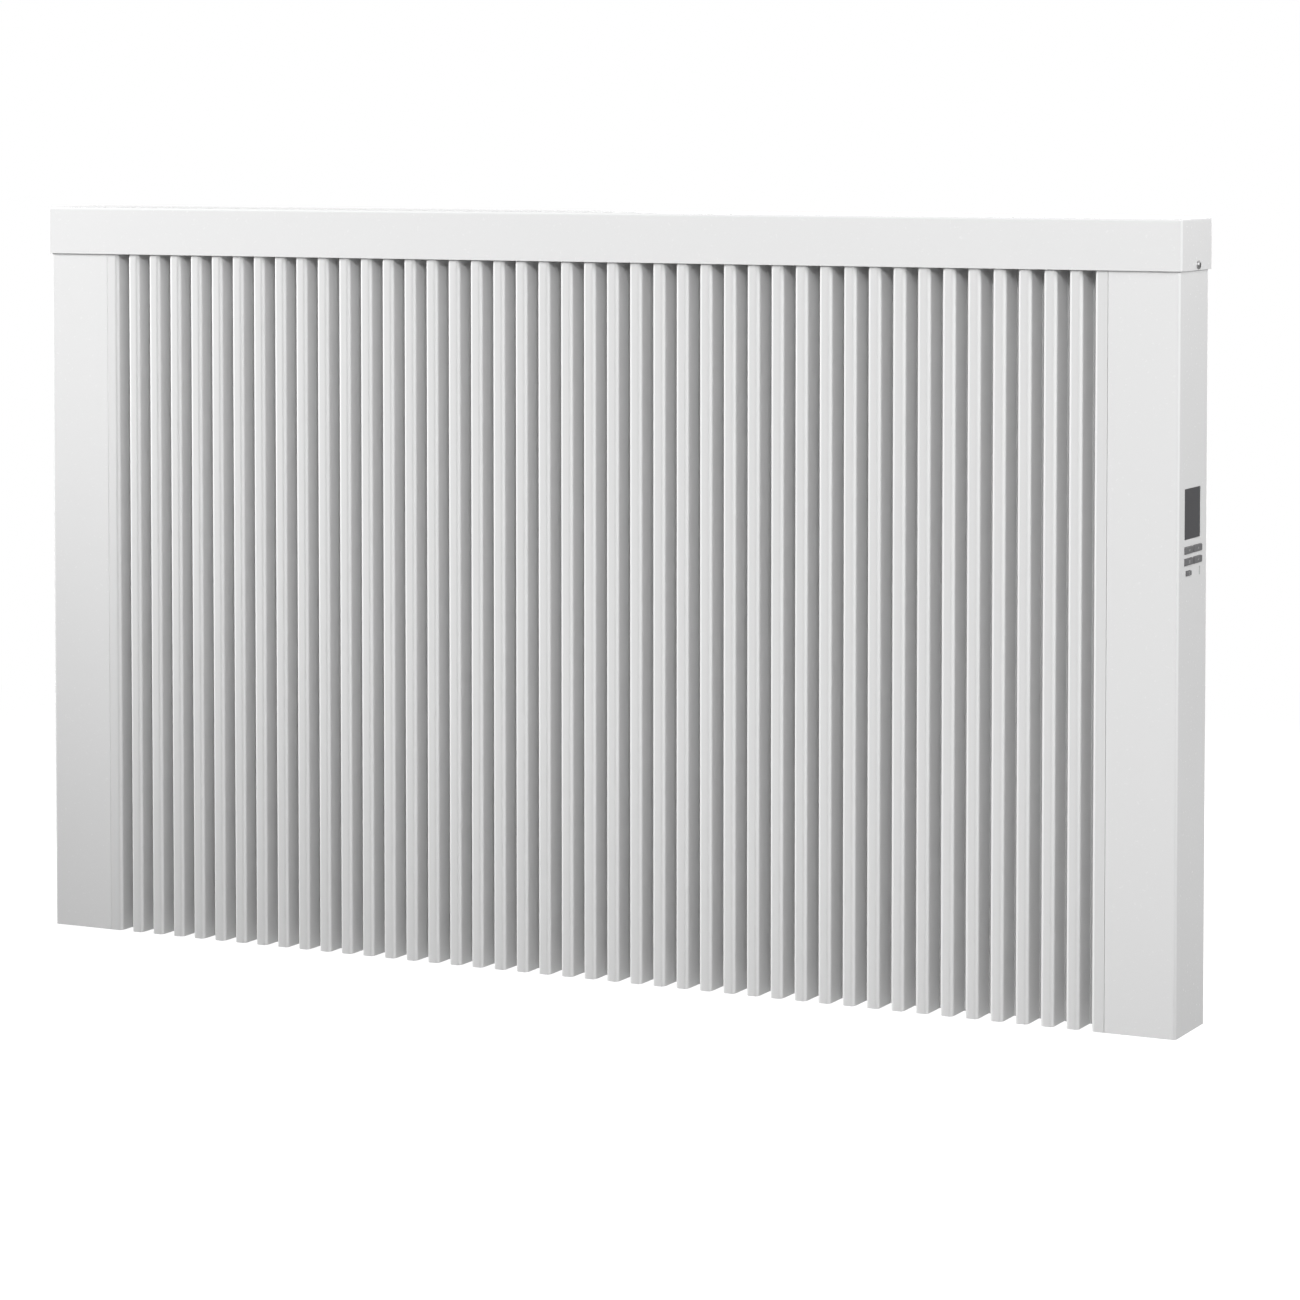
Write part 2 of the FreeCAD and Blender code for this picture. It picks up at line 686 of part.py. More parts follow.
def make_side_panel_right():
    """The right panel also has the cut-outs for the display, the keys and the status light."""
    body = make_side_panel("side_panel_right", 1)
    openings = [rectangle(DISPLAY_FRONT, DISPLAY_BOTTOM, DISPLAY_REAR, DISPLAY_TOP)]
    openings += key_openings()
    openings.append(centred(LIGHT_MID, KEY_LOW_ROW, "light_width", "light_height"))
    controls = new_sketch(body, "controls", "YZ_Plane", openings, offset=HALF_WIDTH)
    pocket(body, "control_cut_outs", controls, "4 * casing_sheet", middle=True)
    add_weld_bolts(body)
    return body


def key_openings():
    return [centred(y, z, f"({length} + 2 * key_clearance)", f"({height} + 2 * key_clearance)")
            for y, z, length, height in KEYS.values()]


def make_rear_panel():
    """A pan: the back sheet with hook slots, and flanges that close the core above and below."""
    body = new_body("rear_panel")
    edge = f"({SHEET_INNER} - fold_radius)"
    back = new_sketch(body, "back", "XZ_Plane", offset=f"-{PAN_BACK}", loops=[
        rectangle(f"-{edge}", PAN_BOTTOM, edge, PAN_TOP)])
    pad(body, "sheet", back, "casing_sheet")
    for name, level, step in (("lower", PAN_BOTTOM, 1), ("upper", PAN_TOP, -1)):
        lip = new_sketch(body, f"{name}_lip", "YZ_Plane", loops=[
            rectangle(FLOOR_BACK, level, PAN_BACK, f"{level} + {step} * casing_sheet")])
        pad(body, f"{name}_flange", lip, f"2 * {LIP}", middle=True)
    slots = new_sketch(body, "slot", "XZ_Plane", offset=f"-{PAN_BACK}", loops=[
        rectangle(f"{side} * {HOOK_X} - {SLOT_HALF}", f"{level} - {SLOT_DROP}",
                  f"{side} * {HOOK_X} + {SLOT_HALF}", level)
        for side in (-1, 1) for level in ("(-hook_spacing / 2)", "(hook_spacing / 2)")])
    pocket(body, "hook_slots", slots, "4 * casing_sheet", middle=True)
    bores = new_sketch(body, "screw_hole", "XZ_Plane", offset=f"-{PAN_BACK}", circles=[
        (f"{side} * ({HALF_WIDTH} - casing_screw_inset)", f"{BOTTOM} + casing_screw_margin",
         "screw_shank_radius + thread_clearance") for side in (-1, 1)])
    bore = pocket(body, "screw_bore", bores, "4 * casing_sheet", middle=True)
    pattern(body, "screw_bores", [bore], "Z_Axis", CASING_SCREW_PITCH, "casing_screw_rows")
    return body


def make_column_base(label, side):
    """A shallow tray that closes the end column from below."""
    body = new_body(label)
    inner = f"({side} * ({FLUTED_HALF} + fit_gap))"
    outer = f"({side} * {SHEET_INNER})"
    front = f"({FRONT} + casing_sheet)"
    outline = new_sketch(body, "outline", "XY_Plane", offset=BASE_FLOOR, loops=[
        rectangle(inner, front, outer, PAN_FRONT)])
    pad(body, "block", outline, "base_flange")
    fillet(body, "corners", 2, [(outer, front), (outer, PAN_FRONT)], "fold_radius")
    hollow = new_sketch(body, "hollow", "XY_Plane", offset=f"{BASE_FLOOR} + base_sheet", loops=[
        rectangle(f"{inner} + {side} * base_sheet", f"{front} + base_sheet",
                  f"{outer} - {side} * base_sheet", f"{PAN_FRONT} - base_sheet")])
    pocket(body, "inside", hollow, "base_flange", reverse=True)
    return body


def make_column_base_right():
    body = make_column_base("column_base_right", 1)
    holes = new_sketch(body, "holes", "XY_Plane", offset=BASE_FLOOR, circles=[
        (GLAND_X, GLAND_Y, "gland_thread_radius + thread_clearance"),
        (SENSOR_X, SENSOR_Y, "sensor_radius + thread_clearance")])
    pocket(body, "service_holes", holes, "4 * base_sheet", middle=True)
    return body


def make_baffle(label, side):
    """A channel between the core and the end column, with holes for the element's legs."""
    body = new_body(label)
    inner = f"({side} * {CORE_HALF})"
    outer = f"({side} * {BAFFLE_OUTER})"
    flange = f"({side} * ({BAFFLE_OUTER} + baffle_flange))"
    profile = [
        (inner, FLOOR_BACK), (flange, FLOOR_BACK), (flange, f"{FLOOR_BACK} + baffle_sheet"),
        (outer, f"{FLOOR_BACK} + baffle_sheet"), (outer, f"{PAN_FRONT} - baffle_sheet"),
        (flange, f"{PAN_FRONT} - baffle_sheet"), (flange, PAN_FRONT), (inner, PAN_FRONT),
    ]
    section = new_sketch(body, "channel", "XY_Plane", [profile],
                         offset=f"{PAN_BOTTOM} + casing_sheet")
    pad(body, "sheet", section, f"{PAN_TOP} - {PAN_BOTTOM} - 2 * casing_sheet")
    leg = new_sketch(body, "leg_hole", "YZ_Plane", offset=inner, circles=[
        (ELEMENT_LINE, LEG_LOW, "bush_neck_radius + thread_clearance")])
    hole = pocket(body, "leg_bore", leg, "4 * baffle_sheet", middle=True)
    pattern(body, "leg_bores", [hole], "Z_Axis", "leg_spacing", "2",
            second=("Z_Axis", ROW_PITCH, "plate_rows"))
    return body


# ---------------------------------------------------------------- heating core

def make_core_tray():
    """A shelf, a back and a top flange that hold the stack of fireclay plates."""
    body = new_body("core_tray")
    low = CORE_BOTTOM
    high = f"({CORE_BOTTOM} + {CORE_HEIGHT} + tray_headroom)"
    profile = [
        (PLATES_FRONT, f"{low} - tray_sheet"), (TRAY_BACK, f"{low} - tray_sheet"),
        (TRAY_BACK, f"{high} + tray_sheet"), (PLATES_FRONT, f"{high} + tray_sheet"),
        (PLATES_FRONT, high), (PLATES_BACK, high), (PLATES_BACK, low), (PLATES_FRONT, low),
    ]
    section = new_sketch(body, "fold", "YZ_Plane", [profile])
    pad(body, "sheet", section, CORE_WIDTH, middle=True)
    return body


def make_insulation_board():
    body = new_body("insulation_board")
    face = new_sketch(body, "face", "XZ_Plane", offset=f"-{TRAY_BACK}", loops=[
        rectangle(f"-{CORE_HALF} + fit_gap", CORE_BOTTOM, f"{CORE_HALF} - fit_gap",
                  f"{CORE_BOTTOM} + {CORE_HEIGHT}")])
    pad(body, "board", face, "insulation_depth", reverse=True)
    return body


def make_fireclay_plates(label, face, back, turn):
    """Plates with half-round grooves on the face where the two layers meet."""
    body = new_body(label)
    groove = "(element_radius + element_clearance)"
    corners = [(back, PLATE_HEIGHT), (back, "0"), (face, "0")]
    for step in (-1, 1):
        middle = f"({PLATE_HEIGHT} / 2 + {step} * leg_spacing / 2)"
        corners.append((face, f"{middle} - {groove}", (face, middle, turn)))
        corners.append((face, f"{middle} + {groove}"))
    corners.append((face, PLATE_HEIGHT))
    section = new_sketch(body, "section", "YZ_Plane", [corners], offset=f"-{CORE_WIDTH} / 2")
    bind(body, "Placement.Base.z", CORE_BOTTOM)
    width = f"(({CORE_WIDTH} + plate_gap) / plate_columns - plate_gap)"
    plate = pad(body, "plate", section, width)
    pattern(body, "plates", [plate], "X_Axis", f"({width} + plate_gap)", "plate_columns",
            second=("Z_Axis", ROW_PITCH, "plate_rows"))
    return body


def make_heating_element(label, row):
    """A hairpin of sheathed tube: two legs through the core and a bend in the left column."""
    body = new_body(label)
    reach = f"({BAFFLE_OUTER} + cold_end)"
    bend = f"(-{BAFFLE_OUTER} - bend_offset)"
    low = f"({LEG_LOW} + {row} * {ROW_PITCH})"
    high = f"({low} + leg_spacing)"
    run_rod(body, "lower_leg", "YZ_Plane", (ELEMENT_LINE, low), bend, reach, "element_radius")
    elbow(body, "return_bend", ELEMENT_LINE, bend, low, "element_radius", "leg_spacing / 2",
          -1, 1, angle=180)
    run_rod(body, "upper_leg", "YZ_Plane", (ELEMENT_LINE, high), bend, reach, "element_radius")
    return body


def leg_group(label, profile, angle_axis):
    """Turn a profile about the first leg's axis and repeat it on every leg."""
    body = new_body(label, y=ELEMENT_LINE, z=LEG_LOW)
    section = new_sketch(body, "profile", "XY_Plane", [profile])
    part = revolve(body, "body", section, angle_axis)
    pattern(body, "set", [part], "Z_Axis", "leg_spacing", "2",
            second=("Z_Axis", ROW_PITCH, "plate_rows"))
    return body


def make_element_bushes():
    bore = "element_radius + thread_clearance"
    flange_end = f"{BAFFLE_OUTER} + bush_flange"
    return leg_group("element_bushes", [
        (CORE_HALF, bore), (flange_end, bore), (flange_end, "bush_radius"),
        (BAFFLE_OUTER, "bush_radius"), (BAFFLE_OUTER, "bush_neck_radius"),
        (CORE_HALF, "bush_neck_radius")], "H_Axis")


def make_element_terminals():
    """A threaded stud at the end of each leg, with its nut as a wider step."""
    start = f"({BAFFLE_OUTER} + cold_end)"
    nut = f"({start} + stud_length / 2)"
    return leg_group("element_terminals", [
        (start, "0"), (f"{start} + stud_length", "0"), (f"{start} + stud_length", "stud_radius"),
        (f"{nut} + stud_nut_height", "stud_radius"),
        (f"{nut} + stud_nut_height", "stud_nut_flats / 2"), (nut, "stud_nut_flats / 2"),
        (nut, "stud_radius"), (start, "stud_radius")], "H_Axis")


def make_element_wires():
    """One wire from each terminal stud to the controller housing."""
    body = new_body("element_wires")
    column = f"({HALF_WIDTH} - sensor_inset)"
    low = LEG_LOW
    next_row = f"({LEG_LOW} + {ROW_PITCH})"
    routes = [
        ("first", low, f"({column} + port_spacing)", BOX_BOTTOM),
        ("second", f"({low} + leg_spacing)", column, BOX_BOTTOM),
        ("fourth", f"({next_row} + leg_spacing)", column, BOX_TOP),
    ]
    for name, level, x, z in routes:
        bent_rod(body, name, ELEMENT_LINE, TERMINAL_END, level, x, z, "wire_radius", "wire_bend")
    run_rod(body, "third", "YZ_Plane", (ELEMENT_LINE, next_row), TERMINAL_END, HOUSING_BACK,
            "wire_radius")
    return body


def make_safety_cutout():
    """A bimetal disc thermostat on the baffle, with two flat terminals."""
    body = new_body("safety_cutout", x=BAFFLE_OUTER, y=SERVICE_LINE,
                    z=f"{TOP} - cutout_drop")
    disc = new_sketch(body, "disc", "YZ_Plane", circles=[("0", "0", "cutout_radius")])
    pad(body, "case", disc, "cutout_length")
    tabs = new_sketch(body, "tabs", "YZ_Plane", offset="cutout_length", loops=[
        centred("0", f"{side} * cutout_tab_spacing / 2", "cutout_tab_width", "cutout_tab_sheet")
        for side in (-1, 1)])
    pad(body, "terminals", tabs, "cutout_tab_height")
    return body


def make_cutout_wires():
    """Two wires from the cut-out down to the controller housing."""
    body = new_body("cutout_wires")
    level = f"({TOP} - cutout_drop)"
    for name, side in (("outer", 1), ("inner", -1)):
        height = f"({level} + {side} * cutout_tab_spacing / 2)"
        column = f"({HOUSING_BACK} + housing_depth / 2 + {side} * cutout_tab_spacing / 2)"
        bent_rod(body, name, SERVICE_LINE, CUTOUT_END, height, column, BOX_TOP,
                 "wire_radius", "wire_bend")
    return body


# ---------------------------------------------------------------- supply

def make_terminal_block():
    """A screw terminal block with three ports on each end."""
    body = new_body("terminal_block")
    face = new_sketch(body, "face", "YZ_Plane", offset=BAFFLE_OUTER, loops=[
        rectangle(f"{SERVICE_LINE} - block_depth / 2", BLOCK_BOTTOM,
                  f"{SERVICE_LINE} + block_depth / 2", BLOCK_TOP)])
    pad(body, "case", face, "block_width")
    ports = [(PORT_X, f"{SERVICE_LINE} + {step} * port_spacing", "block_port_radius")
             for step in (-1, 0, 1)]
    upper = new_sketch(body, "upper_ports", "XY_Plane", circles=ports, offset=BLOCK_TOP)
    pocket(body, "upper_bores", upper, "block_port_depth")
    lower = new_sketch(body, "lower_ports", "XY_Plane", circles=ports, offset=BLOCK_BOTTOM)
    pocket(body, "lower_bores", lower, "block_port_depth", reverse=True)
    return body


def make_supply_wires():
    """Live and neutral, from the controller housing down into the terminal block's ports."""
    body = new_body("supply_wires")
    end = f"({BLOCK_TOP} - block_port_depth)"
    level = f"({BOX_TOP} - housing_wall - 2 * port_spacing)"
    for name, step in (("live", 0), ("neutral", 1)):
        line = f"({SERVICE_LINE} + {step} * port_spacing)"
        bent_rod(body, name, line, HOUSING_BACK, level, PORT_X, end, "wire_radius", "wire_bend")
    return body


def make_earth_stud():
    """The bonding stud on the baffle, with its nut as a wider step."""
    body = new_body("earth_stud", x=BAFFLE_OUTER, y=SERVICE_LINE, z=f"{BOTTOM} + earth_level")
    profile = new_sketch(body, "profile", "XY_Plane", [[
        ("0", "0"), ("stud_length", "0"), ("stud_length", "stud_radius"),
        ("2 * stud_nut_height", "stud_radius"), ("2 * stud_nut_height", "stud_nut_flats / 2"),
        ("stud_nut_height", "stud_nut_flats / 2"), ("stud_nut_height", "stud_radius"),
        ("0", "stud_radius")]])
    revolve(body, "stud", profile, "H_Axis")
    return body


def make_earth_wire():
    body = new_body("earth_wire")
    start = f"({BOTTOM} + earth_level + stud_radius)"
    section = new_sketch(body, "section", "XY_Plane", offset=start, circles=[
        (PORT_X, SERVICE_LINE, "wire_radius")])
    pad(body, "wire", section, f"{BLOCK_BOTTOM} + block_port_depth - {start}")
    return body


def make_cable_gland():
    """The gland's body: a hexagon under the tray, threads on both sides and a clear bore."""
    body = new_body("cable_gland", x=GLAND_X, y=GLAND_Y, z=BASE_FLOOR)
    hexagonal = new_sketch(body, "hexagon", "XY_Plane", [hexagon("0", "0", "gland_flats")])
    pad(body, "flange", hexagonal, "gland_flange", reverse=True)
    inner = new_sketch(body, "inner_thread", "XY_Plane", circles=[("0", "0", "gland_thread_radius")])
    pad(body, "inner", inner, "gland_inner_length")
    outer = new_sketch(body, "outer_thread", "XY_Plane", offset="-gland_flange",
                       circles=[("0", "0", "gland_thread_radius")])
    pad(body, "outer", outer, "gland_outer_length", reverse=True)
    bore = new_sketch(body, "bore", "XY_Plane", circles=[("0", "0", "gland_bore_radius")])
    pocket(body, "way", bore, "4 * (gland_inner_length + gland_outer_length)", middle=True)
    return body


def make_gland_locknut():
    body = new_body("gland_locknut", x=GLAND_X, y=GLAND_Y, z=f"{BASE_FLOOR} + base_sheet")
    outline = new_sketch(body, "outline", "XY_Plane", [hexagon("0", "0", "gland_flats")],
                         circles=[("0", "0", "gland_thread_radius + thread_clearance")])
    pad(body, "nut", outline, "gland_nut_height")
    return body


def make_gland_cap():
    """The dome nut that closes on the cable."""
    body = new_body("gland_cap", x=GLAND_X, y=GLAND_Y, z=f"{BASE_FLOOR} - gland_flange")
    thread = "gland_thread_radius + thread_clearance"
    reach = "(gland_outer_length + fit_gap)"
    profile = new_sketch(body, "profile", "XZ_Plane", [[
        (thread, f"-{reach}"), (thread, "-fit_gap"), ("gland_cap_radius", "-fit_gap"),
        ("gland_cap_radius", f"-{reach}"),
        ("gland_thread_radius", f"-{reach} - gland_cap_floor"),
        ("gland_bore_radius", f"-{reach} - gland_cap_floor"), ("gland_bore_radius", f"-{reach}")]])
    revolve(body, "dome", profile, "V_Axis")
    return body


# ---------------------------------------------------------------- controller

def make_controller_frame():
    """The moulded plate behind the panel: it guides the keys and seats the window and light."""
    body = new_body("controller_frame")
    openings = [rectangle(FRAME_FRONT, FRAME_BOTTOM, FRAME_REAR, FRAME_TOP)]
    openings += key_openings()
    openings.append(centred(LIGHT_MID, KEY_LOW_ROW, "(light_width + 2 * thread_clearance)",
                            "(light_height + 2 * thread_clearance)"))
    openings.append(rectangle(f"{DISPLAY_FRONT} + window_ledge", f"{DISPLAY_BOTTOM} + window_ledge",
                              f"{DISPLAY_REAR} - window_ledge", f"{DISPLAY_TOP} - window_ledge"))
    outline = new_sketch(body, "outline", "YZ_Plane", openings, bolt_circles(),
                         offset=FRAME_INNER)
    pad(body, "plate", outline, "frame_depth")
    seat = new_sketch(body, "window_seat", "YZ_Plane", offset=SHEET_INNER, loops=[
        rectangle(DISPLAY_FRONT, DISPLAY_BOTTOM, DISPLAY_REAR, DISPLAY_TOP)])
    pocket(body, "seat", seat, "ledge_depth")
    return body


def bolt_circles(radius="bolt_radius + screw_clearance"):
    return [(y, z, radius) for y in (BOLT_FRONT, BOLT_REAR) for z in (BOLT_BOTTOM, BOLT_TOP)]


def add_weld_bolts(body):
    """Weld bolts inside the right panel that carry the controller."""
    roots = new_sketch(body, "bolt_roots", "YZ_Plane", circles=bolt_circles("bolt_radius"),
                       offset=SHEET_INNER)
    pad(body, "weld_bolts", roots, "bolt_length", reverse=True)


def make_controller_housing():
    """An open box with bolt flanges and four posts that carry the circuit board."""
    body = new_body("controller_housing")
    flange = new_sketch(body, "flange_outline", "YZ_Plane", offset=FRAME_INNER, loops=[
        rectangle(FRAME_FRONT, FRAME_BOTTOM, FRAME_REAR, FRAME_TOP)], circles=bolt_circles())
    pad(body, "flange", flange, "housing_flange", reverse=True)
    outer = new_sketch(body, "box_outline", "YZ_Plane", offset=FRAME_INNER, loops=[
        rectangle(FRAME_FRONT, BOX_BOTTOM, FRAME_REAR, BOX_TOP)])
    pad(body, "box", outer, f"{FRAME_INNER} - {HOUSING_BACK}", reverse=True)
    inner = new_sketch(body, "hollow", "YZ_Plane", offset=FRAME_INNER, loops=[
        rectangle(f"{FRAME_FRONT} + housing_wall", f"{BOX_BOTTOM} + housing_wall",
                  f"{FRAME_REAR} - housing_wall", f"{BOX_TOP} - housing_wall")])
    pocket(body, "inside", inner, f"{FRAME_INNER} - {HOUSING_INNER}")
    posts = new_sketch(body, "post_feet", "YZ_Plane", offset=HOUSING_INNER, circles=[
        (y, z, "post_radius")
        for y in (f"{FRAME_FRONT} + post_inset", f"{FRAME_REAR} - post_inset")
        for z in (f"{BOX_BOTTOM} + post_inset", f"{BOX_TOP} - post_inset")])
    pad(body, "posts", posts, f"{BOARD_BACK} - {HOUSING_INNER}")
    return body


def make_controller_nuts():
    body = new_body("controller_nuts", x=f"{FRAME_INNER} - housing_flange")
    outlines = []
    for y in (BOLT_FRONT, BOLT_REAR):
        for z in (BOLT_BOTTOM, BOLT_TOP):
            outlines.append(hexagon(y, z, "bolt_nut_flats"))
    nuts = new_sketch(body, "outlines", "YZ_Plane", outlines,
                      bolt_circles("bolt_radius + thread_clearance"))
    pad(body, "nuts", nuts, "bolt_nut_height", reverse=True)
    return body


def make_display_window():
    body = new_body("display_window")
    face = new_sketch(body, "face", "YZ_Plane", offset=f"{SHEET_INNER} - ledge_depth", loops=[
        rectangle(f"{DISPLAY_FRONT} + window_clearance", f"{DISPLAY_BOTTOM} + window_clearance",
                  f"{DISPLAY_REAR} - window_clearance", f"{DISPLAY_TOP} - window_clearance")])
    pad(body, "pane", face, "ledge_depth + casing_sheet - window_recess")
    return body


def make_lcd_module():
    """The display module between the frame and the circuit board."""
    body = new_body("lcd_module")
    face = new_sketch(body, "face", "YZ_Plane", offset=BOARD_FRONT, loops=[
        rectangle(DISPLAY_FRONT, DISPLAY_BOTTOM, DISPLAY_REAR, DISPLAY_TOP)])
    pad(body, "module", face, f"{FRAME_INNER} - {BOARD_FRONT}")
    return body


def make_circuit_board():
    body = new_body("circuit_board")
    margin = "(housing_wall + board_clearance)"
    face = new_sketch(body, "face", "YZ_Plane", offset=BOARD_BACK, loops=[
        rectangle(f"{FRAME_FRONT} + {margin}", f"{BOX_BOTTOM} + {margin}",
                  f"{FRAME_REAR} - {margin}", f"{BOX_TOP} - {margin}")])
    pad(body, "board", face, "board_depth")
    return body


def make_board_components():
    """Relay, capacitor and connector on the back of the board."""
    body = new_body("board_components")
    relay = new_sketch(body, "relay_outline", "YZ_Plane", offset=BOARD_BACK, loops=[
        centred(BOARD_MID_Y, f"({BOARD_MID_Z} + relay_length / 2)", "relay_width",
                "relay_length")])
    pad(body, "relay", relay, "relay_height", reverse=True)
    can = new_sketch(body, "capacitor_outline", "YZ_Plane", offset=BOARD_BACK, circles=[
        (f"{BOARD_MID_Y} + relay_width / 2", f"{BOARD_MID_Z} - 2 * capacitor_radius",
         "capacitor_radius")])
    pad(body, "capacitor", can, "capacitor_height", reverse=True)
    plug = new_sketch(body, "connector_outline", "YZ_Plane", offset=BOARD_BACK, loops=[
        centred(f"({BOARD_MID_Y} - relay_width / 2)",
                f"({BOARD_MID_Z} - connector_length / 2 - capacitor_radius)",
                "connector_width", "connector_length")])
    pad(body, "connector", plug, "connector_height", reverse=True)
    return body


def make_tact_switches():
    """One short-travel switch on the board behind each key."""
    body = new_body("tact_switches")
    cases = new_sketch(body, "case_outlines", "YZ_Plane", offset=BOARD_FRONT, loops=[
        centred(y, z, "switch_side", "switch_side") for y, z, length, height in KEYS.values()])
    pad(body, "cases", cases, "switch_height")
    tops = new_sketch(body, "plunger_outlines", "YZ_Plane",
                      offset=f"{BOARD_FRONT} + switch_height",
                      circles=[(y, z, "plunger_radius") for y, z, length, height in KEYS.values()])
    pad(body, "plungers", tops, "plunger_height")
    return body


def make_status_light():
    """A light guide held behind the frame by its flange."""
    body = new_body("status_light", y=LIGHT_MID, z=KEY_LOW_ROW)
    face = new_sketch(body, "face", "YZ_Plane", offset=FRAME_INNER, loops=[
        centred("0", "0", "(light_width - 2 * thread_clearance)",
                "(light_height - 2 * thread_clearance)")])
    pad(body, "guide", face, "frame_depth + casing_sheet + light_proud")
    foot = new_sketch(body, "foot", "YZ_Plane", offset=FRAME_INNER, loops=[
        centred("0", "0", "(light_width + 2 * light_flange)", "(light_height + 2 * light_flange)")])
    pad(body, "flange", foot, "light_flange", reverse=True)
    return body


def make_key(label, y, z, length, height):
    """A key cap with a retaining flange behind the frame and a stem towards its switch."""
    body = new_body(label, y=y, z=z)
    margin = "2 * key_flange_margin"
    cap = new_sketch(body, "cap_outline", "YZ_Plane", [centred("0", "0", length, height)],
                     offset=FLANGE_BACK)
    pad(body, "cap", cap, f"{HALF_WIDTH} + key_proud - {FLANGE_BACK}")
    corners = [(f"{a} * {length} / 2", f"{b} * {height} / 2") for a in (-1, 1) for b in (-1, 1)]
    fillet(body, "corners", 0, corners, "key_corner")
    round_over(body, "rim", rim_edges(body, 0, f"{HALF_WIDTH} + key_proud"), "key_edge")
    flange = new_sketch(body, "flange_outline", "YZ_Plane", offset=FLANGE_BACK, loops=[
        centred("0", "0", f"({length} + {margin})", f"({height} + {margin})")])
    pad(body, "flange", flange, "key_flange_depth")
    stem = new_sketch(body, "stem_outline", "YZ_Plane", offset=FLANGE_BACK,
                      circles=[("0", "0", "key_stem_radius")])
    pad(body, "stem", stem, f"{FLANGE_BACK} - {PLUNGER_TOP} - key_travel - switch_gap",
        reverse=True)
    return body


def make_room_sensor():
    """A sensor bead that hangs just below the right column's tray, held by its flange."""
    body = new_body("room_sensor", x=SENSOR_X, y=SENSOR_Y, z=f"{BASE_FLOOR} + base_sheet")
    profile = new_sketch(body, "profile", "XZ_Plane", [[
        ("0", "-base_sheet - sensor_drop"), ("sensor_radius", "-base_sheet - sensor_drop"),
        ("sensor_radius", "0"), ("sensor_flange_radius", "0"),
        ("sensor_flange_radius", "sensor_flange"), ("sensor_radius", "sensor_flange"),
        ("sensor_radius", "sensor_length - sensor_drop"), ("0", "sensor_length - sensor_drop")]])
    revolve(body, "bead", profile, "V_Axis")
    return body


def make_sensor_wire():
    body = new_body("sensor_wire")
    start = f"({BASE_FLOOR} + base_sheet + sensor_length - sensor_drop)"
    section = new_sketch(body, "section", "XY_Plane", offset=start, circles=[
        (SENSOR_X, SENSOR_Y, "sensor_wire_radius")])
    pad(body, "wire", section, f"{BOX_BOTTOM} - {start}")
    return body


# ---------------------------------------------------------------- wall fixing

def make_wall_bracket(label, side):
    """A channel on the wall whose outer flange carries two hooks for the heater's back."""
    body = new_body(label)
    middle = f"({side} * bracket_spacing / 2)"
    left = f"({middle} - bracket_width / 2)"
    right = f"({middle} + bracket_width / 2)"
    edge = f"({PAN_BACK} + fit_gap)"
    profile = [
        (left, "0"), (left, edge), (f"{left} + bracket_sheet", edge),
        (f"{left} + bracket_sheet", "-bracket_sheet"),
        (f"{right} - bracket_sheet", "-bracket_sheet"), (f"{right} - bracket_sheet", edge),
        (right, edge), (right, "0"),
    ]
    section = new_sketch(body, "channel", "XY_Plane", [profile], offset=BRACKET_BOTTOM)
    pad(body, "rail", section, f"{BRACKET_TOP} - {BRACKET_BOTTOM}")
    holes = new_sketch(body, "holes", "XZ_Plane", circles=[
        (middle, f"{step} * wall_screw_spacing / 2", "wall_screw_radius") for step in (-1, 1)])
    pocket(body, "screw_holes", holes, "4 * bracket_sheet", middle=True)
    far = f"({PAN_FRONT} - hook_clearance - hook_tongue)"
    hooks = new_sketch(body, "hook_profiles", "YZ_Plane",
                       offset=f"{side} * {HOOK_X} - bracket_sheet / 2", loops=[[
                           (edge, f"{level} - hook_root"), (far, f"{level} - hook_root"),
                           (far, f"{level} + hook_rise"),
                           (f"{far} + hook_tongue", f"{level} + hook_rise"),
                           (f"{far} + hook_tongue", level), (edge, level)]
                           for level in ("(-hook_spacing / 2)", "(hook_spacing / 2)")])
    pad(body, "hooks", hooks, "bracket_sheet")
    return body


def make_bracket_buffers():
    """Rubber pads between the channels and the heater's back."""
    body = new_body("bracket_buffers")
    pads = new_sketch(body, "outlines", "XZ_Plane", offset="bracket_sheet", loops=[
        centred(f"({side} * bracket_spacing / 2)", level, "buffer_width", "buffer_height")
        for side in (-1, 1)
        for level in (f"({BRACKET_BOTTOM} + buffer_inset)", f"({BRACKET_TOP} - buffer_inset)")])
    pad(body, "pads", pads, f"-{PAN_BACK} - bracket_sheet")
    return body


# ---------------------------------------------------------------- fasteners

def screw_outline(head, shank_end):
    """Half section of a pan-head screw along the sketch's first axis."""
    return [
        (shank_end, "0"), (f"{head} + screw_head_height", "0"),
        (f"{head} + screw_head_height", "screw_top_radius"),
        (f"{head} + screw_rim_height", "screw_head_radius"),
        (head, "screw_head_radius"), (head, "screw_shank_radius"),
        (shank_end, "screw_shank_radius")]


def make_cap_screws():
    body = new_body("cap_screws", y=f"{FRONT} + cap_screw_setback",
                    z=f"{TOP} - cap_height + cap_screw_rise")
    seat = f"({HALF_WIDTH} + cap_clearance + cap_sheet)"
    profile = new_sketch(body, "profile", "XY_Plane",
                         [screw_outline(seat, f"{seat} - screw_length")])
    screw = revolve(body, "screw", profile, "H_Axis")
    mirror(body, "pair", [screw], "YZ_Plane")
    return body


def make_cap_nuts():
    body = new_body("cap_nuts", y=f"{FRONT} + cap_screw_setback",
                    z=f"{TOP} - cap_height + cap_screw_rise")
    outline = new_sketch(body, "outline", "YZ_Plane", [hexagon("0", "0", "nut_flats")],
                         [("0", "0", "screw_shank_radius + thread_clearance")],
                         offset=SHEET_INNER)
    nut = pad(body, "nut", outline, "nut_height", reverse=True)
    mirror(body, "pair", [nut], "YZ_Plane")
    return body


